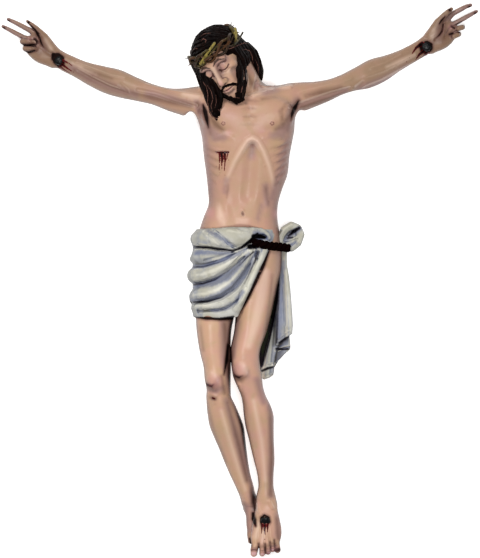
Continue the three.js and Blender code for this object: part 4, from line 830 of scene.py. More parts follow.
beard = Block((-50, -92, -20), (50, 20, 80), FINE_CELL)
for side in (-1, 1):
    for strand in [
            [(38, 8, -2, 4.2), (37.5, -6, 2, 4.8), (35, -22, 8, 5.2), (30, -38, 16, 5.4),
             (22, -52, 27, 5.6), (13, -62, 37, 5.8), (6, -69, 42, 5.6), (3, -77, 42, 3.4)],
            [(35.5, 4, 8, 3.6), (34.5, -10, 14, 4.2), (32, -26, 20, 4.6), (26.5, -41, 28, 4.8),
             (18, -53, 37, 5), (11, -62, 43, 5), (7, -70, 46, 4.2), (8, -77, 45, 2.6)],
            [(34, -22, 2, 4.4), (28, -42, 8, 4.8), (19, -58, 20, 5.2), (10, -68, 32, 5), (5, -75, 38, 3.6)],
            [(38, 2, 6, 3.6), (36, -14, 20, 4.6), (31, -30, 30, 4.8), (23, -45, 39, 4.8),
             (14, -58, 46, 4.8), (7, -70, 47, 3.6)],
            [(35, -10, 22, 2.6), (31.5, -24, 32, 3.8), (25, -38, 39, 4.4), (18, -49, 45, 4.4),
             (11, -60, 49, 4), (6, -72, 48, 2.8)],
            [(24, -42, 38, 3.2), (19, -50, 44, 3.6), (13, -57, 49, 3.8), (8, -64, 50, 3.6),
             (4, -71, 48, 2.6)],
            [(6, -58, 51, 2.6), (5, -64, 51, 3.2), (2.5, -71, 49, 2.8), (1, -77, 46, 2)]]:
        beard.add(lock([(side * x, y, z, r) for x, y, z, r in strand], 4, 34, 0.7), 0.8)
    beard.add(lock([(side * x, y, z, r) for x, y, z, r in [
        (1.5, -32.6, 57.5, 2), (7, -34.8, 56, 2.7), (13, -38.4, 51, 2.9), (18, -45, 46, 2.6),
        (21, -52, 42, 1.8)]],
        3, 22, 0.5), 0.6)

# %% [markdown]
# The long lock on the right breast hangs free of the head, because the head is bowed: its
# strands cross in a slow S and end in a small curl. Broad waves fall behind the neck.

# %% Long locks
locks = Block((-110, 800, 0), (60, 985, 150), HAIR_CELL)
long_locks = [
    [(-85, 950, 104, 5), (-83, 940, 110, 7.5), (-74, 914, 118, 7.5), (-64, 888, 118, 7),
     (-57, 862, 116, 6.6), (-52, 838, 113, 5.8), (-44, 824, 112, 4)],
    [(-84, 938, 120, 5), (-72, 912, 127, 6), (-58, 888, 127, 6.4), (-48, 866, 124, 6.2),
     (-43, 846, 119, 5.8), (-40, 832, 115, 4)],
    [(-72, 926, 131, 4.6), (-58, 902, 131, 5.4), (-44, 884, 129, 6), (-36, 866, 126, 5.4),
     (-39, 848, 121, 4.8), (-44, 836, 117, 3.6)],
    [(-62, 900, 118, 5), (-50, 878, 118, 6), (-38, 862, 119, 5), (-38, 846, 115, 4.2)],
    [(-88, 936, 98, 8), (-74, 906, 103, 9), (-62, 876, 103, 9), (-53, 848, 105, 7), (-46, 830, 108, 5)],
    [(-78, 930, 112, 5), (-70, 904, 122, 5), (-66, 880, 122, 4.6), (-58, 856, 120, 4.4), (-49, 832, 116, 4),
     (-40, 824, 112, 3.2), (-35, 831, 112, 2.6)],
    [(-58, 890, 128, 3.6), (-53, 872, 128, 3.8), (-52, 854, 124, 3.6), (-47, 840, 120, 3.2),
     (-40, 836, 117, 2.4)]]
for strand in long_locks:
    locks.add(lock(strand, 4, 40, 0.8), 0.8)
ring = [(10.5 * math.sin(turn), 7.5 * math.cos(turn)) for turn in np.linspace(-2.2, 2.6, 11)]
long_locks.append([(-42 - x, 829 - y, 113 + 0.4 * x, 2.3) for x, y in ring])
nape_locks = [
    [(4, 966, 92, 7), (17, 953, 86, 8), (27, 935, 76, 8.4), (33, 915, 66, 8), (36, 902, 58, 6)],
    [(2, 960, 82, 8), (14, 942, 74, 9), (24, 922, 64, 9), (28, 902, 52, 7)],
    [(14, 964, 84, 5), (27, 950, 78, 6), (34, 934, 70, 6.4), (38, 916, 62, 6), (39, 905, 56, 4)],
    [(-8, 956, 70, 11), (10, 930, 58, 12), (20, 902, 46, 11), (20, 874, 30, 8)],
    [(-30, 946, 60, 12), (-14, 916, 50, 13), (-6, 888, 36, 12), (-2, 862, 22, 8)],
    [(-56, 940, 70, 12), (-42, 908, 60, 13), (-32, 880, 44, 12), (-26, 856, 24, 8)]]
for strand in nape_locks:
    locks.add(lock(strand, 4, 52, 0.9), 1.2)

# %% Skin of the head and hair
face_skin = carved(face, "face", HEAD_PLACE, 0.006)
hair_skin = carved(hair, "hair", HEAD_PLACE, 0.1)
beard_skin = carved(beard, "beard", HEAD_PLACE, 0.06)
locks_skin = carved(locks, "long_locks", evenness=0.04, keep_all=True)

# %% [markdown]
# The loincloth is carved like soft linen, as thin as a carver dares. It is wrapped low round
# the hips and rolled over at the top, and it all gathers at the left hip, where a rope holds it.
# So the folds fan out from one point. Each fold is a soft roll that thins toward that point and
# goes on round the side, and a deep crease is cut under it.

# %% Wrap and folds
CLOTH_CELL = 0.9
cloth = Block((-118, 318, -2), (132, 645, 145), CLOTH_CELL)
WRAP = np.array([
    (453, -12, 57, 74, 53), (465, -10.5, 57, 77, 54.5), (500, -7.5, 57, 80, 56), (545, -6, 57, 82, 56),
    (590, -6, 57, 81, 55),
    (616, -5, 57, 76, 50)], float)
cloth.add(loft("y", 2.3, WRAP.tolist()))


def over_wrap(x, y):
    """The height of the wrap's front over a place of the plan, and of its side beyond the edge."""
    side, deep, wide, thick = (between(WRAP[:, 0], WRAP[:, k], y) for k in (1, 2, 3, 4))
    across = np.clip(np.abs(x - side) / wide, 0, 1)
    return deep + thick * (1 - across ** 2.3) ** (1 / 2.3)


def fold(places, radii, rise, round_side=True):
    """A fold of the wrap along its crest: places in the picture, its radii and how far it rises."""
    plan = np.array(seen(*places))
    radii = np.interp(np.linspace(0, 1, len(plan)), np.linspace(0, 1, len(radii)), radii)
    rows = [(x, y, over_wrap(x, y) - r / 1.35 + rise, r) for (x, y), r in zip(plan, radii)]
    if round_side:
        (x, y), r = plan[0], radii[0]
        rows = [(x + r + 10, y - 3, 14, r), (x + r, y - 2, 30, r), (x + r, y - 1, 52, r),
                (x + r + 1.5, y, 72, r), (x + r + 6, y, 88, r)] + rows[1:]
    return rod(rows, 1.35)


for places, radii, rise in [
        ([(191.5, 257), (205, 256), (222, 252.5), (238, 249.5), (250, 249)], (9, 10, 8, 6, 5), 3),
        ([(188, 275), (200, 274), (214, 270.5), (228, 263.8), (240, 255), (252, 249)],
         (13, 14, 12, 9, 6, 4.5), 7),
        ([(190, 296), (204, 294.6), (218, 290.4), (230, 282.6), (241, 270), (248.8, 258), (253, 250)],
         (12, 13.5, 12.5, 10, 7.5, 5, 4), 7),
        ([(192, 307.5), (206, 306.4), (222, 304), (234, 298.4), (243, 289), (250, 275), (254.5, 260)],
         (7, 8, 8, 7, 6, 5, 4), 4.5)]:
    cloth.add(fold(places, radii, rise), 3.5)
cloth.add(fold([(194, 313.6), (206, 314.6), (220, 315), (233, 312.5), (239, 308.5)], (5.5, 6, 6, 6, 5),
               3.0), 3)


# the slanting edge of the cloth in front: a place on it, and the direction that leads off it
EDGE_X, EDGE_Y = 52.7, 577
OFF_X, OFF_Y = 0.908, 0.42
LAP = 5
EDGE_BACK = 44


def beyond_edge(x, y, z):
    """The side of the slanting edge where the thigh is bare, in front only."""
    across = (x - EDGE_X) * OFF_X - (y - EDGE_Y) * OFF_Y
    return np.maximum(-across, EDGE_BACK - z)


cloth.cut((np.array([-30, 440, 40]), np.array([110, 640, 145]), beyond_edge), 3)
cloth.add(fold([(265, 250), (261.5, 259), (256.5, 268), (252, 278.5), (247, 290), (241, 301), (236, 309)],
               (4.5, 5, 5, 5, 5, 5, 4.5), 5.0, round_side=False), 2)

folds = Drawing(cloth)
for points, width, height in [
        ([(189, 266.5), (203.8, 266.2), (219.6, 261.7), (233, 256.2), (246, 249.6)], 4.2, -3.6),
        ([(188, 285.2), (203.8, 283.2), (215.6, 279.4), (228.3, 271.4), (239.4, 261), (248.5, 250.4)], 5.2,
         -6.5),
        ([(190, 302.2), (207.7, 301.2), (222, 297), (234.6, 288.6), (244.1, 276.6), (251.2, 264),
          (255.6, 252)], 4.6, -6),
        ([(200, 310.6), (220.4, 309.8), (231.4, 306.6), (240, 299.5), (246, 288)], 3.4, -4.2),
        ([(258.5, 252), (255, 262), (250.4, 272), (246.4, 282.6), (241, 294.5)], 3.4, -4),
        ([(206, 260.4), (220, 257), (234, 251.6)], 3, -1.8),
        ([(205, 278.4), (219, 274.6), (232, 266.4)], 3, 1.6),
        ([(206, 298), (221, 293.6), (232, 285.6)], 3, 1.6),
        ([(205, 270), (218, 266), (230, 259.6)], 2.6, -1.4),
        ([(216, 289.4), (227, 283.6), (236, 274.4)], 2.6, -1.4),
        ([(230, 297), (239, 288), (245, 277)], 3.0, 1.8)]:
    folds.line(seen(*points), width * 1.5, height, 1.4)
folds.carve(1)
back_folds = Drawing(cloth)
for fold_number in range(4):
    y = 560 - 27 * fold_number
    back_folds.line([(-92, y), (-50, y - 12), (0, y - 8), (40, y + 8), (78, y + 24)], 12, 4.5)
back_folds.carve(-1)

# %% [markdown]
# The rolled top is a fold turned outward: a flattened roll that crosses the belly, thick in the
# middle, and curls up at its free end beside the rope, where one looks into its dark inside.

# %% Rolled top
for form, width in [
        (rod([(-54, 598, 16, 13), (-75, 599, 34, 13), (-79, 599, 56, 13.5), (-76, 600, 76, 14.5),
              (-64, 600, 96, 16.5), (-42, 600, 108, 18), (-14, 601.5, 112, 18.5), (8, 604.5, 112, 15.5),
              (24, 609, 109, 10.5), (38, 612.5, 105, 6)], 1.45), 4),
        (rod([(-60, 598, 16, 13), (-20, 596, 12, 13), (40, 596, 12, 13), (70, 594, 28, 12),
              (80, 590, 50, 9)]), 5),
        (rod([(30, 613, 106, 6), (44, 612, 104, 4.2), (51, 607, 101, 3.6), (53.5, 601, 98, 3.8),
              (50, 597, 96, 3.4)]), 1.5)]:
    cloth.add(form, width)
roll_lines = Drawing(cloth)
roll_lines.draw(
    ([(211.5, 229.5), (222, 236.2), (228.3, 242.7), (236, 247.4)], 5, -4.4, 1.2),
    ([(205, 232), (214, 237.6), (220, 243.5)], 6.5, 2.6),
    ([(230, 229.5), (238, 232.5), (243, 238)], 8, 2.2),
    ([(240, 230), (249, 231.6), (255, 229.5)], 5, -1.6),
    ([(187, 247), (196, 247.2), (207.7, 247.6), (219.6, 249.6), (233, 251.4), (242, 248.4), (250, 242.5),
      (257, 235.4)], 4.2, -7, 1.2),
    ([(198, 239), (209, 243)], 6, -1.4),
    ([(224, 227.5), (235, 226.5)], 5, 1.4))
roll_lines.carve(1)
cloth.cut(rod([(33, 600, 110, 4.2), (42, 603.5, 106, 5.2), (49, 604, 101, 3.6)]), 2)

# %% [markdown]
# The end of the cloth makes one flat bow above the rope, open toward the front, and hangs down
# beside the thigh. It falls in two pleats that lie over each other like stairs at their lower
# edge, and a part far behind them stays in the dark.

# %% Bow and hanging end
def sheet(outline, middle, half):
    """A closed outline seen from the front, given a thickness about a wavy middle sheet."""
    outline = np.asarray(outline, float)
    low = np.array([*outline.min(axis=0), 20.0])
    high = np.array([*outline.max(axis=0), 110.0])

    def distance(x, y, z):
        nearest = np.full(np.broadcast(x, y).shape, FAR)
        inside = np.zeros(nearest.shape, bool)
        for (ax, ay), (bx, by) in zip(outline, np.roll(outline, -1, axis=0)):
            lx, ly = bx - ax, by - ay
            t = np.clip(((x - ax) * lx + (y - ay) * ly) / (lx * lx + ly * ly), 0, 1)
            nearest = np.minimum(nearest, np.hypot(x - ax - lx * t, y - ay - ly * t))
            if ly:
                inside ^= ((ay > y) != (by > y)) & (x < ax + lx * (y - ay) / ly)
        edge = np.where(inside, -nearest, nearest)
        return -blend(-edge, half - np.abs(z - middle(x, y)), 3) * 0.8
    return low, high, distance


def hump(place, width):
    """A smooth ridge: 1 in the middle and 0 from one width on."""
    return np.clip(1 - (place / width) ** 2, 0, 1) ** 2


PLEAT_TOP = 583


def right_pleat(x, y):
    down = PLEAT_TOP - y
    return 57 + 8 * hump(x - 85 - down * 0.045, 10) + 1.2 * np.sin(down * 0.06)


def left_pleat(x, y):
    down = PLEAT_TOP - y
    return 52 + 8 * hump(x - 71 + down * 0.095, 10) + 1.2 * np.sin(down * 0.055 + 1)


def lower_step(x, y):
    return 44 + 3 * hump(x - 84, 12) + 0.12 * (y - 390)


def dark_part(x, y):
    return 30 + 0.02 * (PLEAT_TOP - y)


tail = Block((10, 318, 14), (120, 600, 100), CLOTH_CELL)
tail.add(sheet(seen((279.5, 246), (287, 246), (286.8, 264), (289.2, 278.3), (290.8, 294.1), (292.3, 313.9),
                    (292.9, 325), (292.3, 333.5), (286, 338.2), (277.5, 345), (276.4, 344), (277.4, 322),
                    (278.6, 300), (279.8, 270)), right_pleat, 3.2))
tail.add(sheet(seen((278.5, 250), (283, 262), (281, 300), (279, 330), (277.8, 346), (275.4, 356),
                    (273.8, 364.2), (274.4, 368.7), (273.5, 374.9), (269.6, 377.7), (264.5, 379.1),
                    (261.2, 377.1), (260.6, 372), (264, 366), (266.2, 353), (269.6, 339.1), (273.5, 316.8),
                    (277.6, 292), (279, 262)), left_pleat, 3.2))
tail.add(sheet(seen((283, 330), (289.4, 334), (290.6, 347.5), (290.2, 349.4), (284.6, 354.2),
                    (280.2, 359.2), (274.6, 363.1), (270, 362), (272, 345)), lower_step, 3.4))
tail.add(sheet(seen((276, 255), (286, 250), (287, 300), (288, 345), (272, 372), (262, 372), (255, 366),
                    (262, 330), (270, 290)), dark_part, 4.5))
tail_lines = Drawing(tail)
tail_lines.draw(
    ([(290.2, 330), (285.5, 333.5), (279, 339)], 3, 1.2),
    ([(274.8, 364.5), (268.5, 366.5), (262.5, 370)], 4.2, -4.4, 1.3),
    ([(273.2, 373.5), (268, 376), (263, 376)], 3.4, 1.4),
    ([(289.6, 347.5), (284, 348.5), (277, 350.5)], 3, -2.8, 1.3),
    ([(284.5, 275), (285.8, 300), (286.6, 325)], 3, -1))
tail_lines.carve(1)

bow = Block((60, 560, 14), (134, 645, 110), CLOTH_CELL)
bow.add(ball((94, 602, 58), (19, 23, 9), 20))
bow.add(rod([(79, 589, 62, 6.5), (77.5, 602, 64, 6.5), (84, 616, 67, 7), (97, 624, 69, 7),
             (109, 619, 68, 7), (114, 607, 66, 7), (108.5, 592, 64, 7), (97, 583, 62, 7),
             (85, 584, 62, 6.5)]), 3)
bow.cut(rod([(88, 597, 80, 4), (98, 607, 80, 7.2), (108, 617, 82, 8.2)]), 2.0)
bow_lines = Drawing(bow)
bow_lines.draw(
    ([(281.5, 244), (281.3, 236), (285, 229.5), (292, 225)], 3.4, 1.8),
    ([(284, 244), (285.4, 237), (290, 231)], 2.6, -2),
    ([(288, 248), (294, 244), (298.5, 239)], 3.4, -2.6),
    ([(285.5, 240.8), (291.5, 239.6), (297, 237)], 3, 2.4),
    ([(289, 234.5), (295, 230.5)], 2.6, 1.6),
    ([(301, 226), (302.8, 234), (300.4, 242)], 3, 1.4))
bow_lines.carve(1)
cloth.merge(tail, 3).merge(bow, 3)

# the wood under the cloth is cut back, so that the cloth lies free over it
for block in (torso, legs):
    where, (x, y, z) = block.window(np.array([-110, 456, -2]), np.array([110, 612, 145]))
    inside = (EDGE_X - LAP) * OFF_X - x * OFF_X + (y - EDGE_Y) * OFF_Y
    under = loft("y", 2.3, WRAP.tolist())[2](x, y, z) + np.clip(2.5 * inside - 6, -6, 10)
    covered = (inside > 0) & (y > 457) & (y < 606) & (z > 30)
    block.depth[where] = np.where(covered, np.maximum(block.depth[where], under), block.depth[where])
cloth.depth -= PAINT_DEPTH
cloth.plane_back(PLANED - 0.3)
cloth_skin = carved(cloth, "loincloth", evenness=0.04)

# %% [markdown]
# Two or three coats of ground and paint lie over the wood, so all the forms swell by about
# 0.75 mm. Then the skin of each block is drawn.

# %% Skin of the body
for block in (torso, legs):
    block.depth -= PAINT_DEPTH
    block.plane_back()
torso_skin = carved(torso, "torso_skin", evenness=0.035)
legs_skin = carved(legs, "legs_skin", evenness=0.015)

# %% [markdown]
# The rope is three yarns laid round each other. It comes out from under the cloth, crosses
# the bare hip and goes under the bow.

# %% Rope
def twine(path, yarns, pitch, spread, radius, steps):
    """Yarns that wind about a path: rows of (x, y, z, radius) for each yarn."""
    path = np.asarray(path, float)
    steps_along = np.concatenate([[0], np.cumsum(np.linalg.norm(np.diff(path, axis=0), axis=1))])
    at = np.linspace(0, steps_along[-1], steps)
    middle = np.stack([between(steps_along, path[:, k], at) for k in range(3)], axis=1)
    line = np.gradient(middle, axis=0)
    line /= np.linalg.norm(line, axis=1, keepdims=True)
    side = np.cross(line, (0, 0, 1))
    side /= np.linalg.norm(side, axis=1, keepdims=True)
    up = np.cross(side, line)
    rows = []
    for yarn in range(yarns):
        turn = 2 * math.pi * (at / pitch + yarn / yarns)
        places = middle + spread * (np.cos(turn)[:, None] * side + np.sin(turn)[:, None] * up)
        rows.append(np.hstack([places, np.full((steps, 1), radius)]))
    return rows


ROPE_PATH = [(24, 591.5, 103), (34, 590, 109), (46, 587.5, 107), (58, 585.5, 100), (70, 584.5, 90),
             (80, 583.5, 79), (90, 582, 70)]
ROPE_STEPS = 63
rope = Block((10, 556, 30), (116, 616, 135), HAIR_CELL)
for yarn in twine(ROPE_PATH, yarns=3, pitch=34, spread=3.9, radius=4.6, steps=ROPE_STEPS + 1):
    for first in range(0, ROPE_STEPS, 3):
        rope.add(rod(yarn[first:first + 4]), 0.3)
rope_skin = carved(rope, "rope", evenness=0.03)

# %% [markdown]
# The crown is three twigs wound round each other into a ring, with three thinner ones pushed
# between them and the cut ends of others laid over it. Real twigs are never even, so the thick
# ones swell at their knots, and the thorns stand out on all sides. It is a piece of its own that
# is pressed down over the hair.

# %% Crown
CROWN_PLACE = (HEAD_PLACE @ Matrix.Translation((0, 25.5, -7)) @ turned_by(-4, "Z")
               @ turned_by(5, "X"))
CROWN_ACROSS, CROWN_ALONG, CROWN_RISE = 45, 57, 12
TWIG_STEPS = 96
THORNS, SMALL_THORNS = 11, 14
THORN_REACH = 12.4
crown = Block((-75, -28, -85), (75, 40, 88), FINE_CELL)


def on_crown(angle, out, up):
    """A place on the ring of the crown, in its own axes. The ring rises over the brow."""
    return (math.sin(angle) * (CROWN_ACROSS + out), up + CROWN_RISE * max(0.0, math.cos(angle)),
            math.cos(angle) * (CROWN_ALONG + out))


def wound_twig(turns, start, out, swing, rise, radius, knots=0.0, first_knot=0.0):
    """A twig wound round the ring: its turns and start, how far it swings out and up, its radius."""
    rows = []
    for step in range(TWIG_STEPS + 1):
        angle = 2 * math.pi * step / TWIG_STEPS
        wind = turns * angle + start
        knot = knots * max(0.0, math.cos(angle * 13 + first_knot)) ** 4
        rows.append((*on_crown(angle, out + swing * math.cos(wind), rise * math.sin(wind)), radius + knot))
    return np.array(rows)


twig_rows = [
    wound_twig(4, 2 * math.pi * twig / 3, 1.5, 3.2, 10.5, 2.7, 0.5, 2.1 * twig) for twig in range(3)]
twig_rows += [
    wound_twig(turns, 1.3 + 2.4 * twig, 2.0, 3.6, 11, 1.7) for twig, turns in enumerate((3, -4, 2))]
for rows in twig_rows:
    for first in range(0, TWIG_STEPS, 4):
        crown.add(rod(rows[first:first + 5]), 0.5)

# cut ends of twigs that lie slantwise over the ring: degrees round it, out, up
for ends in [
        ((-14, 7.5, -3), (8, 8.5, 8), (36, 8, 19), 2.5), ((-84, 6, 2), (-40, 8, 6), (16, 7, 15), 2.1),
        ((2, 8, 0), (34, 8, -1), (66, 6, 1), 2.4), ((84, 7, -2), (98, 8, 2), (110, 8, 6), 2.6),
        ((70, 7, -9), (96, 9, -9), (112, 15, -10), 1.9), ((-96, 6, -6), (-60, 7, -8), (-22, 7, -12), 2)]:
    first, middle, last = (
        np.array(on_crown(math.radians(degrees), out, up)) for degrees, out, up in ends[:3])
    rows = np.array([(*(first * (1 - t) ** 2 + 2 * t * (1 - t) * middle + t * t * last), ends[3])
                     for t in np.linspace(0, 1, 9)])
    crown.add(rod(rows), 0.5)
    twig_rows.append(rows)
for thorn in range(THORNS):
    angle = 2 * math.pi * (thorn + 0.3) / THORNS
    lean = -0.2 if thorn % 2 else 0.8
    aside = thorn % 3 - 1
    crown.add(rod([
        (*on_crown(angle, 1.0, 0), 2.4),
        (*on_crown(angle + aside * 0.03, 6.5, lean * 4.6), 1.35),
        (*on_crown(angle + aside * 0.1, 2.75 + THORN_REACH, lean * THORN_REACH), 0.3)]), 0.8)
for thorn in range(SMALL_THORNS):
    angle = 2 * math.pi * (thorn + 0.65) / SMALL_THORNS
    up = 7.5 * math.sin(2.1 * thorn)
    crown.add(rod([(*on_crown(angle, 1.5, up), 1.7), (*on_crown(angle + 0.05, 10.5, up * 1.5), 0.3)]), 0.6)
crown_skin = carved(crown, "crown", CROWN_PLACE, 0.1)

# %% [markdown]
# Only the heads of the nails show. Each is domed, with hammered facets, and black.

# %% Nails
DOME = 0.5
HAMMERED = 0.0005
SUNK = 0.60


def forged_nail(node, lean):
    """A nail with a domed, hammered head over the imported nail's place."""
    low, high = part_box(node)
    radius = (high.x - low.x) / 2
    bpy.ops.mesh.primitive_ico_sphere_add(subdivisions=2, radius=radius)
    nail = bpy.context.active_object
    nail.name = node + "_forged"
    bpy.ops.object.mode_set(mode="EDIT")
    bpy.ops.mesh.select_all(action="SELECT")
    bpy.ops.transform.vertex_random(offset=HAMMERED, uniform=0.0, normal=1.0, seed=3)
    bpy.ops.transform.resize(value=(1, 1, DOME))
    bpy.ops.transform.rotate(value=math.radians(lean), orient_axis="X", center_override=(0, 0, 0))
    bpy.ops.transform.translate(
        value=((low.x + high.x) / 2, (low.y + high.y) / 2, high.z - radius * SUNK))
    bpy.ops.mesh.faces_shade_flat()
    bpy.ops.object.mode_set(mode="OBJECT")
    return nail


nails = {node: forged_nail(node, lean) for node, lean in
         [("nail_right_wrist", 0), ("nail_left_wrist", 0), ("nail_feet", -22)]}

# %% [markdown]
# Marks of paint are kept as distances: each point of the skin knows how far it is from the
# nearest painted stroke. The paint then fills up to its edge, and a little noise frays that
# edge, as a brush does. Large faces that a thin stroke crosses are split first, so it stays whole.

# %% Painted strokes
PAINT_REACH = 12.0
STROKE_REACH = 10


def strokes(piece, name, rows, facing=0.0, turned=None):
    """Marks how far each point is from strokes seen from the front: rows of points and half widths.

    The points are places in the picture, or in the axes of a carving that was turned.
    """
    points, normals = points_of(piece)
    place = (points - START) / SHARE
    if turned is not None:
        back = np.array(turned.inverted())
        place = place @ back[:3, :3].T + back[:3, 3]
        normals = normals @ np.array(turned.to_3x3().normalized())
    nearest = np.full(len(place), PAINT_REACH)
    for path, widths in rows:
        path = np.array(seen(*path) if turned is None else path, float)
        widths = np.broadcast_to(np.asarray(widths, float), len(path))
        reach = widths.max() + STROKE_REACH
        low, high = path.min(axis=0) - reach, path.max(axis=0) + reach
        near = np.flatnonzero((place[:, :2] > low).all(axis=1) & (place[:, :2] < high).all(axis=1))
        for a, b, wa, wb in zip(path[:-1], path[1:], widths[:-1], widths[1:]):
            line = b - a
            t = np.clip(((place[near, :2] - a) @ line) / (line @ line + 1e-9), 0, 1)
            away = np.linalg.norm(place[near, :2] - a - t[:, None] * line, axis=1) - (wa + (wb - wa) * t)
            nearest[near] = np.minimum(nearest[near], away)
    mark(piece, name, np.where(normals[:, 2] > facing, nearest, PAINT_REACH))


def spots(*places):
    """Round spots in the picture: (x, y, half width in shares) for each, as short strokes."""
    return [([(x, y), (x + 0.1, y)], size) for x, y, size in places]


HALVINGS = 6


def refine(piece, *windows, longest=1.4):
    """Splits long edges inside windows of the picture, so that fine strokes stay whole."""
    areas = [np.sort(seen(*corners), axis=0) * SHARE + START[:2] for corners in windows]
    mesh = bmesh.new()
    mesh.from_mesh(piece.data)
    for halving in range(HALVINGS):
        long_edges = []
        for edge in mesh.edges:
            end, other = edge.verts
            if end.normal.z > 0 and (end.co - other.co).length > longest * SHARE:
                x, y = end.co.x, end.co.y
                if any(low[0] < x < high[0] and low[1] < y < high[1] for low, high in areas):
                    long_edges.append(edge)
        if not long_edges:
            break
        bmesh.ops.subdivide_edges(mesh, edges=long_edges, cuts=1)
        mesh.normal_update()
    bmesh.ops.triangulate(mesh, faces=[face for face in mesh.faces if len(face.verts) > 4])
    mesh.to_mesh(piece.data)
    mesh.free()
    triangles = sum(len(face.vertices) - 2 for face in piece.data.polygons)
    print(piece.name, triangles, "triangles with the painted places")


refine(torso_skin, ((215, 150), (232, 178)), ((50, 50), (76, 74)), ((405, 38), (438, 62)),
       ((201, 105), (212, 132)), ((288, 101), (301, 124)), ((220, 121), (227, 127)),
       ((269, 121), (276, 127)), ((0, 15), (44, 52)), ((440, 0), (480, 36)), ((192, 312), (242, 323)),
       ((250, 246), (272, 290)))
refine(legs_skin, ((192, 312), (242, 323)), ((236, 300), (248, 316)), ((244, 284), (258, 302)),
       ((252, 262), (268, 286)), ((262, 246), (272, 266)), ((203, 380), (221, 401)),
       ((232, 370), (248, 381)), ((248, 510), (272, 557)), ((270, 535), (282, 555)))

blood = [
    ([(217.2, 152.8), (222, 153.2), (229, 152.8)], (0.9, 2.6, 1.8)),
    ([(222, 153.5), (222.8, 160), (222.2, 166)], (3, 2.4, 1)),
    ([(225.4, 153), (225.6, 162), (224.8, 171)], (2.6, 1.4, 0.6)),
    ([(219.8, 154), (220, 163), (219.6, 170.5)], (1.4, 0.8, 0.6)),
    ([(228.4, 153.5), (227.8, 158), (226.6, 161)], (1.4, 0.8, 0.5)),
    ([(222.6, 165), (222.3, 170)], (0.7, 0.5)),
    *spots((219.8, 175, 0.7), (225.4, 175.4, 0.8), (220.2, 173, 0.5), (229, 160.5, 0.6)),
    ([(63, 59), (68, 62), (72, 64.5)], (2.2, 1.2, 0.6)),
    ([(61, 62.5), (67.5, 67.5), (73, 71)], (2.6, 1.4, 0.6)),
    ([(59, 65), (64, 68.5), (69, 71.5)], (2, 1, 0.5)),
    ([(424, 42), (418, 46), (413.5, 52.5)], (4.4, 2.6, 0.7)),
    ([(426, 49), (421, 53), (417.5, 58)], (3.4, 2.4, 0.7)),
    ([(431, 51), (426, 54), (420, 58.5)], (1.6, 1.4, 0.6)),
    *spots((408, 60.5, 0.9), (411, 56.5, 0.7))]
foot_blood = [
    ([(262.6, 524), (262.2, 529), (262, 532.5)], (2.4, 1.2, 0.5)),
    ([(265.3, 524), (265, 530), (265.6, 534)], (2.8, 1.6, 0.6)),
    ([(268, 524), (268, 529), (267.6, 532)], (2.2, 1.1, 0.5)),
    ([(255.4, 524), (256.4, 526.6)], (0.6, 0.4)),
    *spots((265.2, 538.5, 0.8)),
    ([(209.6, 384.6), (211.6, 385.3)], (1, 0.6)),
    ([(213.4, 397.2), (215.5, 398)], (1.6, 0.9))]
cloth_shadow = [
    ([(194, 316.5), (206, 318), (220, 318.6), (233, 317.6), (240, 311)], (1.4, 2, 2.4, 2.8, 1.8)),
    ([(241, 309.4), (248.8, 296.4), (256.2, 281.4), (264, 264.4), (268.6, 250)], (1.7, 2.2, 2.7, 2.7, 2.4))]
# near black: the painted wounds at the wrists and the dark finger tips, and painted shade in the armpits,
# the palm creases, between the fingers, under the rolled top and along the cloth's edge
strokes(torso_skin, "deep", [
    *cloth_shadow,
    ([(52.5, 53.5), (57.5, 53.5), (61.5, 56.5), (62, 61.5), (58.5, 64), (54.5, 60), (52.5, 53.5)], 3.4),
    ([(55, 56), (59, 60.5)], 8),
    ([(423, 44), (428.5, 41), (432.5, 43), (431.5, 48), (427.5, 50.4), (424, 48.5), (423, 44)], 3.4),
    ([(426, 45), (430, 46)], 8),
    ([(203.6, 105), (205.6, 112), (207.2, 119), (209, 128)], (0.2, 3.2, 2.6, -0.5)),
    ([(299, 101), (295.4, 107.6), (292.6, 114), (291.2, 121)], (0.2, 2.8, 2.2, -1)),
    ([(199, 229), (215.6, 230), (227.5, 228), (239.4, 226.4), (251.2, 227.4), (262, 231)], 0.5),
    ([(35, 29.5), (37.4, 34), (39.4, 39), (41.4, 43.6), (45, 49.4)], (0.6, 1.6, 1.2, 0.2, -2)),
    ([(445.3, 22.7), (444, 29.4), (441.2, 33.6), (436, 39)], (0.2, 1.2, 0.8, -2)),
    ([(21, 42.6), (27, 43.6), (33.4, 43)], (0.4, 1.2, 0.8)),
    ([(23, 49.6), (28, 50.6), (34, 49)], (0.4, 1.2, 0.8)),
    ([(29.5, 23), (34, 28), (38, 32)], (0.3, 1.3, 0.3)),
    *spots((7.2, 19.2, 1.4), (2.6, 26.2, 1.4), (471.6, 5, 1.2), (477.6, 11.2, 1.2), (27.8, 20.8, 1.6),
           (451.5, 8.4, 1.8)),
    ([(446.5, 15), (443, 19), (441, 22)], (0.3, 1.3, 0.3)),
    ([(453.5, 24.5), (456.5, 26.4)], (1.2, 1.2)),
    ([(451.5, 32.5), (454.5, 31.5)], (1, 1))], 0.05)
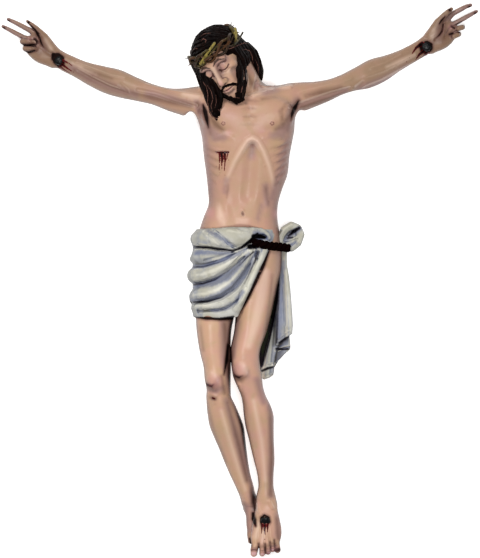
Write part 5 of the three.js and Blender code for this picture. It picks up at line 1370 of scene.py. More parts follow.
# near black: the painted wound of the rear foot and the ring round the nail, and painted shade between the
# thighs, in crescents under the knees, between the toes and along the cloth's edge
strokes(legs_skin, "deep", [
    ([(230.6, 340), (231.4, 358), (231.6, 374)], (0.2, 1.2, 0.3)),
    ([(234.6, 373), (236.2, 375.4), (239.4, 376.6), (243, 375)], (-0.4, 1.2, 1.2, -1.2)),
    ([(205.6, 382), (208.6, 384.6), (212, 385.4), (215, 383.4)], (-0.6, 1.2, 1.4, -1.2)),
    ([(228.6, 344), (227.2, 360), (224.6, 374)], (1.4, 2, -0.2)),
    ([(213.4, 397.6), (215.2, 398.2)], (0.6, 0.2)),
    ([(253.6, 514), (254.4, 519.5), (256, 525)], (2, 3.8, 1)),
    ([(261.6, 517.5), (265, 514.8), (269, 517), (269.8, 521), (267, 525), (262.8, 525), (261.2, 521),
      (261.6, 517.5)], 1.6),
    ([(259, 543), (259, 548), (258.8, 553)], (-0.8, 0.4, 0.3)),
    ([(265.6, 543), (265.7, 548), (265.8, 553)], (-0.8, 0.3, 0.2)),
    ([(270.6, 541), (270.9, 546), (271.4, 550)], (-0.8, 0.3, 0.2)),
    ([(274.9, 539), (275, 543), (275.2, 547)], (-0.8, 0.3, 0.2)),
    ([(276.2, 549.6), (279, 549.2)], (2.6, 2.6)),
    ([(251.6, 549.2), (254.4, 548.6), (257.2, 549.2)], (-0.05, 0.09, -0.05)),
    ([(268.2, 552.6), (270.2, 552)], (0.6, 0.6)),
    ([(250.2, 539), (251.4, 545)], (0.6, 0.9)),
    *cloth_shadow], -0.3)
strokes(legs_skin, "toe_nail", [
    ([(253.4, 552.6), (255.8, 552.6)], 2.2), ([(262, 553.4), (263.6, 553.4)], 1.5),
    ([(268.4, 552), (269.6, 552)], 1.4), ([(272.6, 549), (273.6, 549)], 1.3)], -0.2)
# soft brown painted shade: round the armpits, under the arms, in the palms, under the chest, between the
# ribs and across the breastbone
strokes(torso_skin, "umber_shade", [
    ([(198, 103), (203, 111), (208, 121), (211, 134)], (2, 5, 4, 0)),
    ([(299, 101), (294, 109), (290, 119), (288, 131)], (2, 5, 4, 0)),
    ([(192, 106), (170, 101.5), (150, 96.5), (132, 92)], (2, 3, 1, -1)),
    ([(302, 107), (322, 101), (344, 94.5), (362, 90)], (2, 3, 2, 0)),
    ([(128, 92), (108, 84), (90, 76), (74, 69)], (0, 2, 2, 0)),
    ([(364, 90), (388, 82), (408, 70)], (0, 1, 0)),
    ([(35, 29), (39, 37), (43, 45), (48, 52)], (3, 7, 7, 3)),
    ([(27, 38), (33, 44), (38, 50)], (3, 5, 4)),
    ([(446, 21), (443.6, 29), (439, 36), (432, 42)], (3, 6, 6, 3)),
    ([(456, 26), (450, 32), (444, 39)], (3, 5, 4)),
    ([(212, 118), (217, 126), (224, 131)], (3, 4, 1)),
    ([(288, 120), (283, 127), (276, 130)], (2, 3, -1)),
    ([(287, 104), (281, 112), (283, 122)], (-2, 0.5, 0)),
    ([(306, 96), (322, 92), (342, 87)], (0, 3, 0)),
    ([(112, 78), (100, 74), (84, 67)], (-1, 1, -1)),
    ([(240, 102.5), (250, 101), (260, 102)], (-4, -1.5, -4)),
    ([(240, 110.5), (250, 108.8), (260, 110)], (-4, -1, -4)),
    ([(240, 118.5), (250, 117), (260, 118)], (-4, -1.2, -4)),
    ([(242, 126), (250, 125), (258, 126)], (-4, -2, -4)),
    ([(222, 101), (236, 104)], (-2, -2)), ([(262, 100), (278, 97)], (-1, -2)),
    ([(253, 145), (252, 153)], (0, -2)),
    ([(266, 187), (269, 204)], (0, -1)),
    ([(229, 186), (227, 198)], (-2, -3)),
    ([(209, 188), (207, 202)], (0, 0)),
    ([(247, 74), (252, 83), (257, 92)], (0, 2, -2)), ([(258, 70), (262, 82)], (-1, 0))] + [
    ([(289.5 - 1.5 * rib, 144 + 7.4 * rib), (281 - rib, 148 + 7.4 * rib), (273 + rib, 152.6 + 7.2 * rib)],
     (0, -1.8, -5))
    for rib in range(6)] + [
    ([(203 + rib, 147 + 7.4 * rib), (213, 151 + 7.4 * rib), (224 - 2 * rib, 155 + 7.2 * rib)], (0, -1, -4))
    for rib in range(5)], -0.4)
# soft brown painted shade: between the thighs and along their edges, in crescents under the knees, along
# the shins and round the feet and toes
strokes(legs_skin, "umber_shade", [
    ([(225, 324), (228, 350), (230, 374)], (1, 3, 2)),
    ([(238, 322), (234.5, 340), (233, 356)], (-1, 0, 1)),
    ([(273, 275), (270.4, 300), (266.5, 330), (262, 358)], (-2, -1, 1, 1)),
    ([(201, 326), (204, 350)], (-2, -1)),
    ([(203.6, 380), (207.4, 385), (212.6, 387), (217, 383.8), (219.5, 378)], (0, 3.4, 3.6, 3, 0.5)),
    ([(211.4, 396.6), (216, 398)], (0.6, 0.6)),
    ([(234.6, 372), (237, 376.4), (242, 378), (247.6, 375.4), (249, 370)], (1, 3.4, 3.4, 0, -2)),
    ([(222, 376), (225, 392)], (1, 0)),
    ([(228, 402), (238, 440), (248, 480)], (-1, 1, 1)),
    ([(270.5, 400), (272.5, 450), (271, 494)], (-1, 2, 1)),
    ([(208, 402), (214, 430), (226, 462)], (-2, -1, -1)),
    ([(244, 505), (246, 520), (248, 536)], (1, 2, 1)),
    ([(277, 518), (278.6, 538)], (0, 0)),
    ([(252, 547), (257, 547)], (-2, -2)), ([(262, 546), (268, 545), (275, 542)], (-1, -1, -1))], -0.4)
# painted highlights: along the rib arch, on the belly, the collar bones, the shoulder, the forearms and the
# balls of the thumbs
strokes(torso_skin, "light", [
    ([(226, 184), (229, 176), (234.5, 163), (242, 150), (248, 142), (253, 139), (258, 142), (264, 152),
      (269.5, 166), (273, 180), (274, 188)], (-2, -1, 0, 0.6, 1, 1, 0.6, 0.4, 0, -1, -2)),
    ([(219, 205), (221, 216), (224, 224)], (0, 4, 0)),
    ([(238, 221), (247, 221)], (1, 1)),
    ([(243, 98), (228, 93), (212, 89.5)], (-2, 0, -2)),
    ([(254, 96.5), (264, 93), (276, 88.6), (289, 87)], (-2, 0, 0, -2)),
    ([(198, 97), (184, 94)], (0, 0)),
    ([(72, 62), (84, 68), (96, 73)], (-2, 0, -2)),
    ([(416, 53), (402, 60), (388, 66)], (-2, 0, -2)),
    ([(44, 40), (49, 47)], (2, 1)),
    ([(437, 30), (434, 36)], (2, 1))], -0.4)
# painted highlights: down the left thigh, on the knees and shins, on the toes and on the big toe's nail
strokes(legs_skin, "light", [
    ([(266, 272), (261.5, 300), (256, 322), (249, 345)], (4, 6, 6, 3)),
    ([(242, 364), (244, 369)], (1.5, 1.5)),
    ([(213, 372), (215, 376)], (0.5, 0.5)),
    ([(211, 326), (212, 340)], (-3, -4)),
    ([(254, 400), (262, 440), (266, 480)], (-1, 0.6, -1)),
    ([(222, 410), (234, 452), (246, 490)], (-1, 0.2, -1)),
    ([(256, 536), (259, 522)], (0.2, 0)), ([(263, 540), (263.6, 532)], (0.2, 0)),
    ([(252.8, 552.6), (256.2, 552.6)], (2.2, 2.2))], -0.4)
strokes(torso_skin, "blood", blood, -0.2)
strokes(legs_skin, "blood", foot_blood, -0.2)
# mauve painted shade: the armpits, under the chest, the flanks, the pit of the arch, the undersides of the
# arms, the neck and the hands
strokes(torso_skin, "glazed_shade", [
    ([(196, 103), (202, 110), (206, 120)], (2, 5, 2.5)),
    ([(297, 101), (292.5, 110), (289.5, 122)], (2, 5.5, 2.5)),
    ([(208, 129), (216, 137), (224, 138)], (3, 6, 3)),
    ([(288, 126), (281, 134), (274, 136)], (4, 7, 3)),
    ([(205, 130), (205, 160), (210, 188)], (3, 3, 3)),
    ([(288, 140), (282, 172), (272, 198)], (2, 3, 3)),
    ([(253, 146), (252, 156)], (3, 3)),
    ([(227, 180), (226, 192)], (0, 0)),
    ([(266, 186), (268, 204)], (2, 2)),
    ([(262, 206), (258, 220)], (0, 0)),
    ([(190, 104), (170, 98), (148, 94)], (2, 3, 2)),
    ([(136, 94), (112, 87), (86, 75), (70, 66)], (2, 3, 3, 2)),
    ([(300, 106), (322, 99), (346, 91)], (2, 3, 2)),
    ([(360, 88), (384, 80), (408, 67)], (2, 3, 2)),
    ([(257, 86), (266, 92), (276, 90)], (3, 3, 2)),
    ([(228, 98), (236, 102)], (3, 2)),
    ([(26, 30), (12, 22), (6, 18.5)], (0, 0, 3)), ([(20, 36), (8, 29), (2, 26)], (0, 0, 3)),
    ([(449, 17), (462, 9), (473, 4)], (0, 0, 3)), ([(456, 22), (468, 16), (478, 11)], (0, 0, 3)),
    ([(36, 36), (42, 46)], (2, 3)), ([(443, 26), (440, 36)], (3, 2))], -0.6)
# mauve painted shade: between the thighs, under the right knee, beside the left knee, along the shins and
# at the feet
strokes(legs_skin, "glazed_shade", [
    ([(224, 322), (225, 345), (226, 366)], (3, 4, 3)),
    ([(238, 322), (235, 340), (233, 356)], (1, 1, 1)),
    ([(210, 388), (216, 390), (222, 388)], (1, 3, 2)),
    ([(227, 400), (238, 440), (248, 480)], (2, 3, 2)),
    ([(270, 400), (273, 430), (272, 460), (271, 495)], (2, 3, 3, 2)),
    ([(246, 508), (249, 530)], (3, 3)),
    ([(258, 380), (264, 400)], (3, 3)),
    ([(278, 515), (279, 535)], (2, 2))], -0.6)
# thin dark lines round the nipples, and painted shade in the navel and the palm creases
strokes(torso_skin, "dark_line", [
    ([(221.9, 124.4), (223.2, 122.6), (225.4, 123), (225.6, 125), (223.6, 126), (221.9, 124.4)], 0.5),
    ([(270.5, 124.4), (271.8, 122.6), (274, 123), (274.2, 125), (272.2, 126), (270.5, 124.4)], 0.6),
    ([(243.2, 213.6), (243.8, 215.6)], (0.3, 0)),
    (RIGHT_CREASE, (0.4, 0.4, 0.3, 0)),
    (LEFT_CREASE, (0.4, 0.4, 0.3, 0))])
strokes(torso_skin, "rosy", spots((223.8, 124, 3), (272.4, 124, 2), (28, 37, 3), (452, 25, 3),
                                  (211, 213, 8), (276, 214, 7), (255, 158, 4), (229, 133, 5),
                                  (262, 132, 3)))
strokes(legs_skin, "dark_line", [
    ([(251.8, 547), (256.8, 547)], 0.3), ([(260.8, 549.5), (264.4, 549.5)], 0.3),
    ([(267, 548), (270.4, 548)], 0.3)])
strokes(legs_skin, "rosy", spots((216, 380, 12), (239, 369, 11), (254, 552, 7), (263, 552, 5),
                                 (269, 552, 5), (273, 548, 5), (276, 548, 5)))

# %% [markdown]
# The face has its marks in its own axes: the lines of the closed lids and the mouth, the brows,
# the shade beside the nose and in the cheeks, and light on the ridge of the nose. It bears no
# blood, so that mark lies out of its reach.

# %% Marks of the face
# painted shade in the inner corners of the eyes, beside the nose, over the lids, in the cheeks and under
# the lower lip, and painted highlights down the nose and on the cheeks
face_marks = {
    "deep": (mirrored(([(9.5, -7), (8, -2)], 0.2)), -0.8),
    "umber_shade": ([*mirrored(([(9, 3), (11, -4)], -1), ([(30, -22), (24, -36)], 1),
                         ([(5.5, -10), (9.5, -24)], -3.5)), ([(-7, -50), (7, -50)], -1)], 0),
    "light": ([([(0, 8), (0, -18)], 0), *mirrored(([(20, -15), (22, -18)], 0))], 0),
    "glazed_shade": ([*mirrored(([(8, 1), (8, -8)], 2.5), ([(31, -24), (27, -36)], 2),
                         ([(12, 9.5), (24, 7)], 0.5)), ([(-6, -49), (6, -49)], 1)], 0),
    "brow": (mirrored(([(4.5, 11.5), (11, 15.6), (19, 16.4), (29, 11.5)], (0.8, 1.7, 1.5, 0.4))), 0),
    "dark_line": ([*mirrored(
        ([(8, -3.2), (12, -6.3), (17, -7.5), (22, -6.7), (27, -3.4)], (0.3, 0.7, 0.8, 0.8, 0.4)),
        ([(8.5, 4.6), (13, 8), (19, 8.4), (26, 5.4)], 0.15), ([(3.4, -28.4), (3.6, -28.4)], 1.1)),
        ([(-11, -41.2), (-5, -41.5), (0, -41.9), (5, -41.5), (11, -41.2)], 0.5)], -0.6),
    "rosy": ([([(-9, -41), (0, -41.5), (9, -41)], (1.2, 3.2, 1.2)), *mirrored(([(17, 0), (16, -3)], 1.5)),
              ([(0, -20), (0, -24)], 4)], -0.4),
    "blood": ([([(90, 90), (91, 90)], 0.1)], 0),
}
for name, (rows, facing) in face_marks.items():
    strokes(face_skin, name, rows, facing, HEAD_PLACE)
print("marks of the face:", ", ".join(face_marks))

# %% [markdown]
# A finish is worked out from a few numbers, like mixing paint by recipe. This small class lets
# them be added and multiplied with ordinary signs, and each sign becomes one node.

# %% Recipes for paint
class Value:
    """A number in a finish, which can be worked out with + - * and softened into a step."""

    def __init__(self, finish, socket):
        self.finish = finish
        self.socket = socket

    def combine(self, operation, first, second):
        return self.finish.value("ShaderNodeMath", {"operation": operation}, [first, second])

    def __add__(self, other):
        return self.combine("ADD", self, other)

    def __radd__(self, other):
        return self.combine("ADD", other, self)

    def __sub__(self, other):
        return self.combine("SUBTRACT", self, other)

    def __mul__(self, other):
        return self.combine("MULTIPLY", self, other)

    def step(self, low, high, bottom=0.0, top=1.0):
        """A soft step from low to high."""
        return self.finish.value("ShaderNodeMapRange", {"interpolation_type": "SMOOTHSTEP"},
                                 {"Value": self, "From Min": low, "From Max": high, "To Min": bottom,
                                  "To Max": top})


class Finish:
    """A paint or bare material over one ground, described with nodes."""

    def __init__(self, name):
        self.material = bpy.data.materials.new(name)
        self.material.use_nodes = True
        self.tree = self.material.node_tree
        self.tree.nodes.clear()
        self.place = self.node("ShaderNodeTexCoord").outputs["Object"]
        self.colour = None

    def node(self, kind, settings=None, sockets=None):
        """A node: its settings first, and then numbers or links for its sockets."""
        node = self.tree.nodes.new(kind)
        for name, setting in (settings or {}).items():
            setattr(node, name, setting)
        pairs = enumerate(sockets) if isinstance(sockets, list) else (sockets or {}).items()
        for name, given in pairs:
            given = given.socket if isinstance(given, Value) else given
            if isinstance(given, bpy.types.NodeSocket):
                self.tree.links.new(given, node.inputs[name])
            else:
                node.inputs[name].default_value = given
        return node

    def value(self, kind, settings, sockets):
        return Value(self, self.node(kind, settings, sockets).outputs[0])

    def noise(self, scale, detail=2.0, stretch=(1, 1, 1), warp=0.0, rough=0.5):
        """Cloudy noise with a number of clouds to the metre, about 0.5 on the whole."""
        place = self.place
        if stretch != (1, 1, 1):
            place = self.node("ShaderNodeMapping", None, {"Vector": place, "Scale": stretch}).outputs[0]
        node = self.node("ShaderNodeTexNoise", None, {"Vector": place, "Scale": scale, "Detail": detail,
                                                      "Distortion": warp, "Roughness": rough})
        return Value(self, node.outputs["Fac"])

    def layer(self, name):
        """A number that was marked on the points."""
        return Value(self, self.node("ShaderNodeAttribute", {"attribute_name": name}).outputs["Fac"])

    def mix(self, amount, below, above):
        """One colour over another."""
        below, above = ((*given, 1.0) if isinstance(given, tuple) else given for given in (below, above))
        node = self.node("ShaderNodeMix", {"data_type": "RGBA"}, {"Factor": amount, 6: below, 7: above})
        return node.outputs[2]

    def ground(self, amount, below, above):
        """The first coat: two colours that take turns."""
        self.colour = self.mix(amount, below, above)

    def over(self, amount, above):
        """One more colour over the coats that are there."""
        self.colour = self.mix(amount, self.colour, above)

    def done(self, roughness, height=None, depth=0.0002, specular=None, metallic=None, **more):
        """Puts the colour, the gloss and a fine relief together."""
        sockets = {"Base Color": self.colour, "Roughness": roughness, **more}
        if specular is not None:
            sockets["Specular IOR Level"] = specular
        if metallic is not None:
            sockets["Metallic"] = metallic
        if height is not None:
            sockets["Normal"] = self.node("ShaderNodeBump", None, {
                "Height": height, "Distance": depth, "Strength": 1.0}).outputs[0]
        surface = self.node("ShaderNodeBsdfPrincipled", None, sockets)
        self.node("ShaderNodeOutputMaterial", None, {"Surface": surface.outputs[0]})
        return self.material


def dress(piece, material):
    """Gives a piece its finish."""
    piece.data.materials.clear()
    piece.data.materials.append(material)

# %% [markdown]
# Flesh paint is thin oil colour over a warm ground, rosier at knees and finger tips and yellower
# in broad patches. Shade is painted into it as colour: mauve and brown in the hollows, the creases
# and toward the outline, darker along the arms and at the hands, and pale painted highlights on the
# ridges. The last coat is rubbed until it has a satin gloss. Fine brush marks stay in it.

# %% Flesh
def flesh_paint(name, brows=False, nails=False):
    """Painted flesh, with blood, dark lines and rosy places where they are marked."""
    paint = Finish(name)
    hollow, fine = paint.layer("hollow"), paint.layer("fine_hollow")
    cloud = paint.noise(14, 3)
    patch = paint.noise(46, 3, warp=0.4)
    speck = paint.noise(420, 2)
    paint.ground(cloud.step(0.35, 0.65), (0.525, 0.325, 0.205), (0.54, 0.305, 0.218))
    paint.over(patch.step(0.45, 0.72) * 0.5, (0.45, 0.315, 0.175))
    paint.over(patch.step(0.5, 0.28) * 0.38, (0.53, 0.275, 0.24))
    # painted shade: the flesh darkens outward along the arms, and most at the hands
    far_out = paint.node("ShaderNodeSeparateXYZ", None, {"Vector": paint.place})
    out, up = Value(paint, far_out.outputs["X"]), Value(paint, far_out.outputs["Y"])
    out = paint.value("ShaderNodeMath", {"operation": "ABSOLUTE"}, [out])
    arm_shade = out.step(0.05, 0.22) * (0.70 + (patch - 0.5) * 0.5)
    paint.over(arm_shade, (0.215, 0.15, 0.095))
    paint.over(out.step(0.22, 0.31) * 0.55, (0.13, 0.08, 0.05))
    chest = up.step(-0.02, 0.16)
    paint.over(chest * 0.34, (0.3, 0.175, 0.115))
    shade = hollow + (cloud - 0.5) * 0.16
    # painted highlights where the light strokes are marked
    paint.over(paint.layer("light").step(9, -4) * 0.42, (0.86, 0.65, 0.52))
    # painted shade toward the outline, where the surface turns away from the view
    edge_shade = paint.node("ShaderNodeLayerWeight", None, {"Blend": 0.5})
    edge_shade = Value(paint, edge_shade.outputs["Facing"])
    paint.over(edge_shade.step(0.1, 0.75) * 0.55, (0.25, 0.15, 0.11))
    paint.over(edge_shade.step(0.5, 0.95) * 0.85, (0.05, 0.026, 0.018))
    # mauve painted shade along the marked strokes
    glazed_shade = paint.layer("glazed_shade") + (patch - 0.5) * 5.0
    paint.over(glazed_shade.step(11, -3) * 0.62, (0.235, 0.14, 0.15))
    # brown painted shade along the marked strokes
    umber_shade = paint.layer("umber_shade") + (patch - 0.5) * 4.0
    paint.over(umber_shade.step(8, -4) * 0.8, (0.15, 0.078, 0.05))
    # painted shade in the hollows and fine creases, darkest in the deepest, and a pale painted highlight on
    # the fine ridges
    paint.over(shade.step(0.08, 0.4) * 0.6, (0.32, 0.195, 0.17))
    paint.over(shade.step(0.28, 0.58) * 0.8, (0.13, 0.066, 0.055))
    paint.over(shade.step(0.5, 0.85) * 0.95, (0.016, 0.006, 0.005))
    paint.over(fine.step(0.16, 0.75) * 0.5, (0.19, 0.1, 0.085))
    paint.over(fine.step(-0.05, -0.4) * 0.3, (0.76, 0.56, 0.44))
    # near black: the painted wounds, and painted shade in the armpits, the creases, between the toes and
    # along the cloth's edge
    deep = paint.layer("deep") + (patch - 0.5) * 1.5
    paint.over(deep.step(5.5, 0.5) * 0.7, (0.12, 0.055, 0.045))
    paint.over(deep.step(1.6, -0.6) * 0.97, (0.006, 0.002, 0.002))
    roughness = 0.38 + (speck - 0.5) * 0.10 + (patch - 0.5) * 0.12
    fray = paint.noise(900, 2)
    paint.over(paint.layer("rosy").step(*((3, -3) if brows else (7, -7))) * 0.45, (0.5, 0.235, 0.235))
    # thin dark lines: the drawn lines of the lids and nipples, and painted shade in the mouth, nostrils,
    # navel and palm creases
    line = paint.layer("dark_line") + (fray - 0.5) * 0.8
    paint.over(line.step(0.8, -0.4) * 0.8, (0.13, 0.05, 0.04))
    if brows:
        hairs = paint.layer("brow") + (paint.noise(1600, 2, stretch=(1, 0.4, 1)) - 0.5) * 3.0
        paint.over(hairs.step(0.9, -0.5) * 0.92, (0.022, 0.01, 0.008))
    if nails:
        plate = paint.layer("toe_nail").step(0.5, -0.3)
        paint.over(plate * 0.75, (0.7, 0.4, 0.43))
    red = paint.layer("blood") + (fray - 0.5) * 1.7
    wet = red.step(0.35, -0.25)
    paint.over(wet, (0.095, 0.005, 0.006))
    paint.over(red.step(-0.4, -1.8), (0.008, 0.002, 0.002))
    roughness = roughness - wet * 0.20
    dark = deep.step(3.0, -0.5)
    roughness = roughness + dark * 0.3
    relief = paint.noise(260, 3, stretch=(1, 0.35, 1)) + speck * 0.5
    return paint.done(roughness, relief, 0.00016, specular=0.22, metallic=dark * 0.9)


dress(torso_skin, flesh_paint("flesh_paint"))
dress(face_skin, flesh_paint("face_paint", brows=True))
dress(legs_skin, flesh_paint("leg_paint", nails=True))

# %% [markdown]
# The hair is almost black, a brown glazing over a dark ground, glossy from varnish. Painted
# highlights lie on the crests of the strands, a few of them a thin reddish tan, and the hollows
# between them get painted shade.

# %% Hair
paint = Finish("hair_paint")
fine, hollow = paint.layer("fine_hollow"), paint.layer("hollow")
cloud = paint.noise(60, 3)
streak = paint.noise(240, 3, warp=1.2)
paint.ground(cloud.step(0.35, 0.65), (0.002, 0.0009, 0.0008), (0.0045, 0.0018, 0.0014))
# painted highlights on the crests of the strands, a few of them reddish tan
crest = (fine + (streak - 0.5) * 0.5).step(0.02, -0.42)
paint.over(crest * 0.5, (0.016, 0.006, 0.0045))
paint.over((crest * cloud.step(0.54, 0.68)) * 0.4, (0.2, 0.09, 0.06))
# painted shade in the hollows between the strands
paint.over(hollow.step(0.25, 0.7), (0.002, 0.001, 0.001))
glint = paint.layer("glint") + (streak - 0.5) * 1.6
paint.over(glint.step(0.7, -0.4) * 0.8, (0.25, 0.115, 0.09))
relief = paint.noise(700, 2, stretch=(1, 0.2, 0.6))
dark_hair = paint.done(0.45 + (cloud - 0.5) * 0.1, relief, specular=0.03)

for piece in (hair_skin, beard_skin, locks_skin):
    strokes(piece, "glint", [
        ([(203.5, 83), (207, 88), (208.6, 95), (208.2, 103), (209.6, 111), (213, 117), (217, 119.6),
          (221, 117.6), (221.6, 113), (218.6, 110.4)], (0.02, 0.23, 0.23, 0.16, 0.23, 0.23, 0.23, 0.16,
          0.09, -0.05)),
        ([(207.5, 86), (212, 93), (213.6, 100), (211.6, 107), (213, 113)],
         (-0.05, 0.16, 0.16, 0.16, -0.05)),
        ([(216.5, 96), (217, 103), (215.5, 109)], (-0.05, 0.09, -0.05)),
        ([(226.5, 51.8), (232, 50.4), (238, 47.4), (244, 44), (249, 44)], (-0.05, 0.23, 0.23, 0.3, 0.02)),
        ([(241.5, 52), (246, 50.4), (250.4, 51.4), (252.8, 57), (253.6, 65), (255, 71)],
         (-0.05, 0.23, 0.3, 0.23, 0.23, -0.05)),
        ([(256, 60), (258.6, 66), (259, 74)], (-0.05, 0.16, -0.05)),
        ([(200.6, 38.6), (205, 35.6), (211.6, 35)], (-0.05, 0.09, -0.05)),
        ([(201.8, 43), (204, 40.6), (207, 42), (206, 45)], (0.09, 0.23, 0.23, 0.02)),
        ([(193, 52), (196, 50), (199, 51)], (-0.05, 0.09, -0.05)),
        ([(229.5, 93), (234, 98.6), (240, 99.4)], (-0.05, 0.16, -0.05)),
        ([(243, 88), (241.6, 94)], (0.3, 0.3)),
        ([(233, 92), (236, 96.6)], (0.3, 0.2))], 0)
    dress(piece, dark_hair)

# %% [markdown]
# The cloth is painted a greyed cream. Its shade is painted in: blue and lilac in the hollows and
# valleys, darker toward the outline, and a thin dark painted shadow right under each fold and in the
# gap beside the thigh, so that the relief reads from afar. Pale painted highlights lie on the crests.

# %% Cloth
# painted shadow: a thin dark line under each fold, under the rolled top and in the bow, and a broad dark
# band in the gap between the thigh and the hanging end
strokes(cloth_skin, "dark_line", [
    ([(189, 247), (196, 247), (207.7, 247.4), (219.6, 249.2), (233, 251), (242, 248), (250, 241.5),
      (258, 234)], (0.6, 0.9, 1, 1, 1.2, 1.6, 2.2, 1.4)),
    ([(189, 285.2), (203.8, 283.4), (215.6, 279.6), (228.3, 271.6), (239.4, 261.2)],
     (1, 0.9, 0.4, -0.6, -1)),
    ([(191, 302.4), (207.7, 301.4), (222, 297.2), (234.6, 288.8)], (1, 0.9, 0.3, -1)),
    ([(190, 267), (203.8, 266.8), (219.6, 262.2)], (0.4, 0, -1)),
    ([(212, 310.8), (224, 309.4), (233, 305.4)], (-0.6, 0, -1)),
    ([(258.5, 252), (255, 262), (250.4, 272), (245, 284)], (1, 0.9, 0.5, -0.8)),
    ([(254, 252), (247, 258), (240, 266)], (0.6, 0.2, -1)),
    ([(254, 236.5), (260, 236.5), (265, 237.5)], (3.6, 4.2, 2.6)),
    ([(250, 247), (257, 246)], (4, 4.5)),
    ([(194, 317.2), (206, 318), (220, 318.4), (234, 316.4)], (0.8, 0.8, 0.8, 0.8)),
    ([(280, 256), (278.6, 275), (274.9, 300), (269.4, 325), (264.5, 345), (260.5, 364)],
     (1.6, 4, 7, 8.5, 9, 6)),
    ([(280.4, 252), (279.8, 290), (278.4, 318), (277.2, 343)], (0.8, 0.8, 0.8, 1)),
    ([(280, 343), (285, 339.5), (289, 337)], (1.6, 2, 1)),
    ([(277, 349), (283, 349.6), (289, 349.4)], (1.4, 1.4, 0.8)),
    ([(263, 371), (268, 368.6), (273.4, 367.4)], (1.4, 1.8, 1.2)),
    ([(289, 236), (294, 231.5), (299.5, 228)], (1.4, 3.2, 2.6)),
    ([(288, 238), (293, 237.4)], (1.4, 1))], -0.3)
# painted highlights on the crests of the folds
strokes(cloth_skin, "crest", [
    ([(193, 275.5), (203, 274.5), (216, 270.5), (229, 262.8), (240, 254.4)], (-1, 1, 1.5, 1, -1)),
    ([(194, 295), (206, 293.6), (218, 289.6), (230, 281.6), (240.6, 269.4)], (-1, 1, 1.5, 1, -1)),
    ([(196, 306.5), (208, 305.5), (224, 303)], (-1, 0.5, -1)),
    ([(262.4, 256), (256.8, 268), (250, 283), (242, 300)], (-0.5, 0.8, 0.8, -0.5)),
    ([(207, 236), (214, 241), (219, 245)], (-1, 0.6, -1)),
    ([(228, 231), (240, 233)], (-1, -1)),
    ([(286.6, 270), (289.4, 300), (290.6, 326)], (-1, 0.5, 0)),
    ([(279.4, 252), (276.4, 300), (272, 330)], (-2, -1, -1))], -0.3)
# blue painted shade in the valleys of the folds, inside the roll and in the bow
strokes(cloth_skin, "blue", [
    ([(189, 266.8), (203.8, 266.6), (219.6, 262.3), (233, 256.8), (246, 250)], (2, 2.6, 3, 3, 2)),
    ([(189, 286), (203.8, 284.8), (215.6, 282.2), (227.5, 276.8), (239.4, 266), (249, 254)],
     (3, 4, 5.5, 7, 5, 2.5)),
    ([(192, 300.5), (207.7, 298.8), (222, 294.4), (234.6, 285.6), (244.1, 275), (251.2, 263), (256, 252)],
     (2.5, 3.5, 5, 7, 6.5, 4, 2.5)),
    ([(214, 310.5), (226, 308.4), (236, 302), (243, 292)], (1.4, 2.6, 3.4, 3)),
    ([(196, 253), (214, 253), (232, 253)], (2.4, 3, 2.5)),
    ([(284, 262), (282, 290), (280.6, 318), (280, 338)], (1.6, 2.6, 2.2, 2)),
    ([(256, 233), (262, 235), (267, 239)], (4, 5, 3)),
    ([(208, 231), (216, 235), (225, 240), (233, 246)], (0, 3.5, 3, 1.6)),
    ([(286, 241), (292, 234), (300, 229)], (3, 5, 4)),
    ([(289, 246), (296, 243)], (2.5, 2.5))], -0.3)

paint = Finish("cloth_paint")
hollow, fine = paint.layer("hollow"), paint.layer("fine_hollow")
cloud = paint.noise(22, 3)
patch = paint.noise(80, 3, warp=0.5)
speck = paint.noise(520, 2)
paint.ground(cloud.step(0.35, 0.65), (0.43, 0.412, 0.345), (0.465, 0.46, 0.425))
paint.over(patch.step(0.5, 0.75) * 0.5, (0.35, 0.342, 0.262))
shade = hollow + (patch - 0.5) * 0.12
paint.over(shade.step(0.02, 0.22) * 0.85, (0.215, 0.24, 0.32))
paint.over(shade.step(0.18, 0.42) * 0.92, (0.06, 0.07, 0.13))
paint.over(shade.step(0.38, 0.65), (0.008, 0.007, 0.015))
# painted shade toward the outline, where the surface turns away from the view
edge_shade = Value(paint, paint.node("ShaderNodeLayerWeight", None, {"Blend": 0.5}).outputs["Facing"])
paint.over(edge_shade.step(0.05, 0.7) * 0.55, (0.215, 0.225, 0.245))
paint.over(edge_shade.step(0.55, 0.95) * 0.8, (0.045, 0.048, 0.06))
# pale painted highlight on the fine ridges
paint.over(fine.step(-0.02, -0.3) * 0.6, (0.74, 0.72, 0.63))
fray = paint.noise(500, 3)
paint.over(cloud.step(0.62, 0.4) * 0.35, (0.36, 0.345, 0.255))
# painted highlights on the marked crests of the folds
crest = paint.layer("crest") + (patch - 0.5) * 3.0
paint.over(crest.step(4.5, -1.5) * 0.55, (0.76, 0.735, 0.62))
# blue painted shade in the valleys, frayed by noise
glazed_shade = paint.layer("blue") + (paint.noise(240, 3, stretch=(1, 0.5, 1), warp=0.6) - 0.5) * 7.0
paint.over(glazed_shade.step(5, -3) * 0.72, (0.105, 0.125, 0.22))
# painted shadow under the folds, near black at its core, and olive black in the broad gap beside the thigh
line = paint.layer("dark_line") + (fray - 0.5) * 1.2
paint.over(line.step(2.4, -0.2) * 0.9, (0.022, 0.02, 0.034))
paint.over(line.step(0.4, -1.2), (0.003, 0.002, 0.003))
paint.over(line.step(-3, -7) * 0.7, (0.005, 0.007, 0.002))
relief = paint.noise(300, 3, stretch=(1, 0.4, 1)) + speck * 0.5
dress(cloth_skin, paint.done(0.46 + (speck - 0.5) * 0.12, relief, specular=0.2,
                             metallic=line.step(1.2, -1.2) * 0.95))

# %% [markdown]
# The rope is stained near black with a red-brown glint on the yarns. The twigs keep their bark:
# olive, brown and orange-brown in turn, with darker knots. The iron is black and waxed.

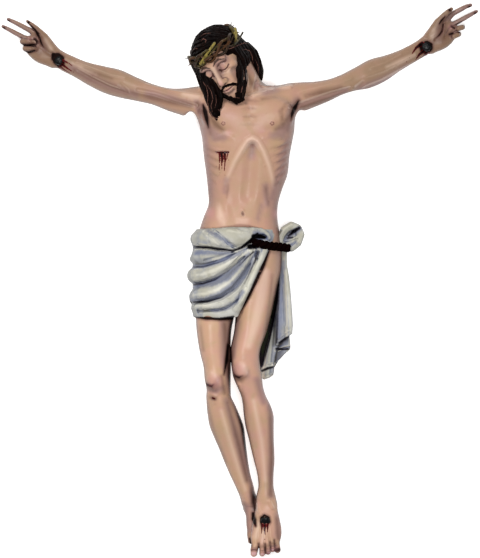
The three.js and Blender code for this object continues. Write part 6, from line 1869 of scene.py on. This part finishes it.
# %% Rope, twigs and iron
paint = Finish("rope_paint")
fine, cloud = paint.layer("fine_hollow"), paint.noise(900, 2)
paint.ground(fine.step(0.1, -0.4) * cloud.step(0.4, 0.7), (0.0025, 0.0008, 0.0008), (0.05, 0.01, 0.007))
dress(rope_skin, paint.done(0.5, paint.noise(1500, 2), 0.0003, specular=0.0))

points, normals = points_of(crown_skin)
back = np.array(CROWN_PLACE.inverted())
own = ((points - START) / SHARE) @ back[:3, :3].T + back[:3, 3]
reach = np.stack([np.min(np.linalg.norm(own[:, None, :] - rows[None, ::(3 if len(rows) > 9 else 1), :3],
                                        axis=2), axis=1) for rows in twig_rows])
reach[:3] -= 1.4
reach[6:] -= 1.2
colours = np.array([0, 1, 2, 3, 1, 0, 4, 0, 2, 4, 3, 1])
mark(crown_skin, "twig", colours[reach.argmin(axis=0)])
mark(crown_skin, "thorny", np.clip(reach.min(axis=0) - 2.2, 0, 12))

paint = Finish("twig_bark")
twig, thorny = paint.layer("twig"), paint.layer("thorny")
fine, hollow = paint.layer("fine_hollow"), paint.layer("hollow")
cloud, grain = paint.noise(90, 3), paint.noise(600, 3, stretch=(1, 0.3, 1))
paint.ground(twig.step(0.4, 0.6), (0.058, 0.044, 0.009), (0.026, 0.012, 0.005))
paint.over(twig.step(1.4, 1.6), (0.062, 0.024, 0.007))
paint.over(twig.step(2.4, 2.6), (0.026, 0.022, 0.006))
paint.over(twig.step(3.4, 3.6), (0.23, 0.18, 0.04))
paint.over(cloud.step(0.56, 0.72) * 0.5, (0.17, 0.125, 0.032))
paint.over(grain.step(0.5, 0.35) * 0.5, (0.02, 0.012, 0.006))
# painted shade in the hollows between the twigs
paint.over(hollow.step(0.1, 0.5), (0.008, 0.005, 0.003))
paint.over(thorny.step(1.5, 6) * 0.7, (0.04, 0.022, 0.01))
dress(crown_skin, paint.done(0.5 + (grain - 0.5) * 0.2, grain, 0.0004, specular=0.15))

paint = Finish("waxed_iron")
cloud, grain = paint.noise(260, 3), paint.noise(900, 3)
paint.ground(cloud.step(0.4, 0.7), (0.003, 0.003, 0.0035), (0.01, 0.009, 0.009))
iron = paint.done(0.34 + (cloud - 0.5) * 0.1, cloud, 0.0001, specular=0.16)
for nail in nails.values():
    dress(nail, iron)

# %% Floor finish
paint = Finish("pale_paper")
paint.ground(paint.noise(3, 1).step(0.3, 0.7), (0.9, 0.9, 0.9), (0.91, 0.91, 0.91))
dress(floor, paint.done(0.9, **{"Emission Color": (1, 1, 1, 1), "Emission Strength": 0.55}))

# %% [markdown]
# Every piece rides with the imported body, because nothing on the figure moves. The carved pieces
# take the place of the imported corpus, and the crown and the nails that of their own solids.

# %% Ride with the frame
slots = {
    "painted_flesh": [torso_skin, legs_skin, face_skin],
    "painted_hair": [hair_skin, beard_skin, locks_skin],
    "painted_cloth": [cloth_skin],
    "painted_rope": [rope_skin],
    "thorn_twigs": [crown_skin],
    "black_iron": list(nails.values()),
}
for slot, pieces in slots.items():
    for piece in pieces:
        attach(piece, "root")
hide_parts("corpus")
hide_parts("crown_of_thorns")
for node, nail in nails.items():
    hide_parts(node)
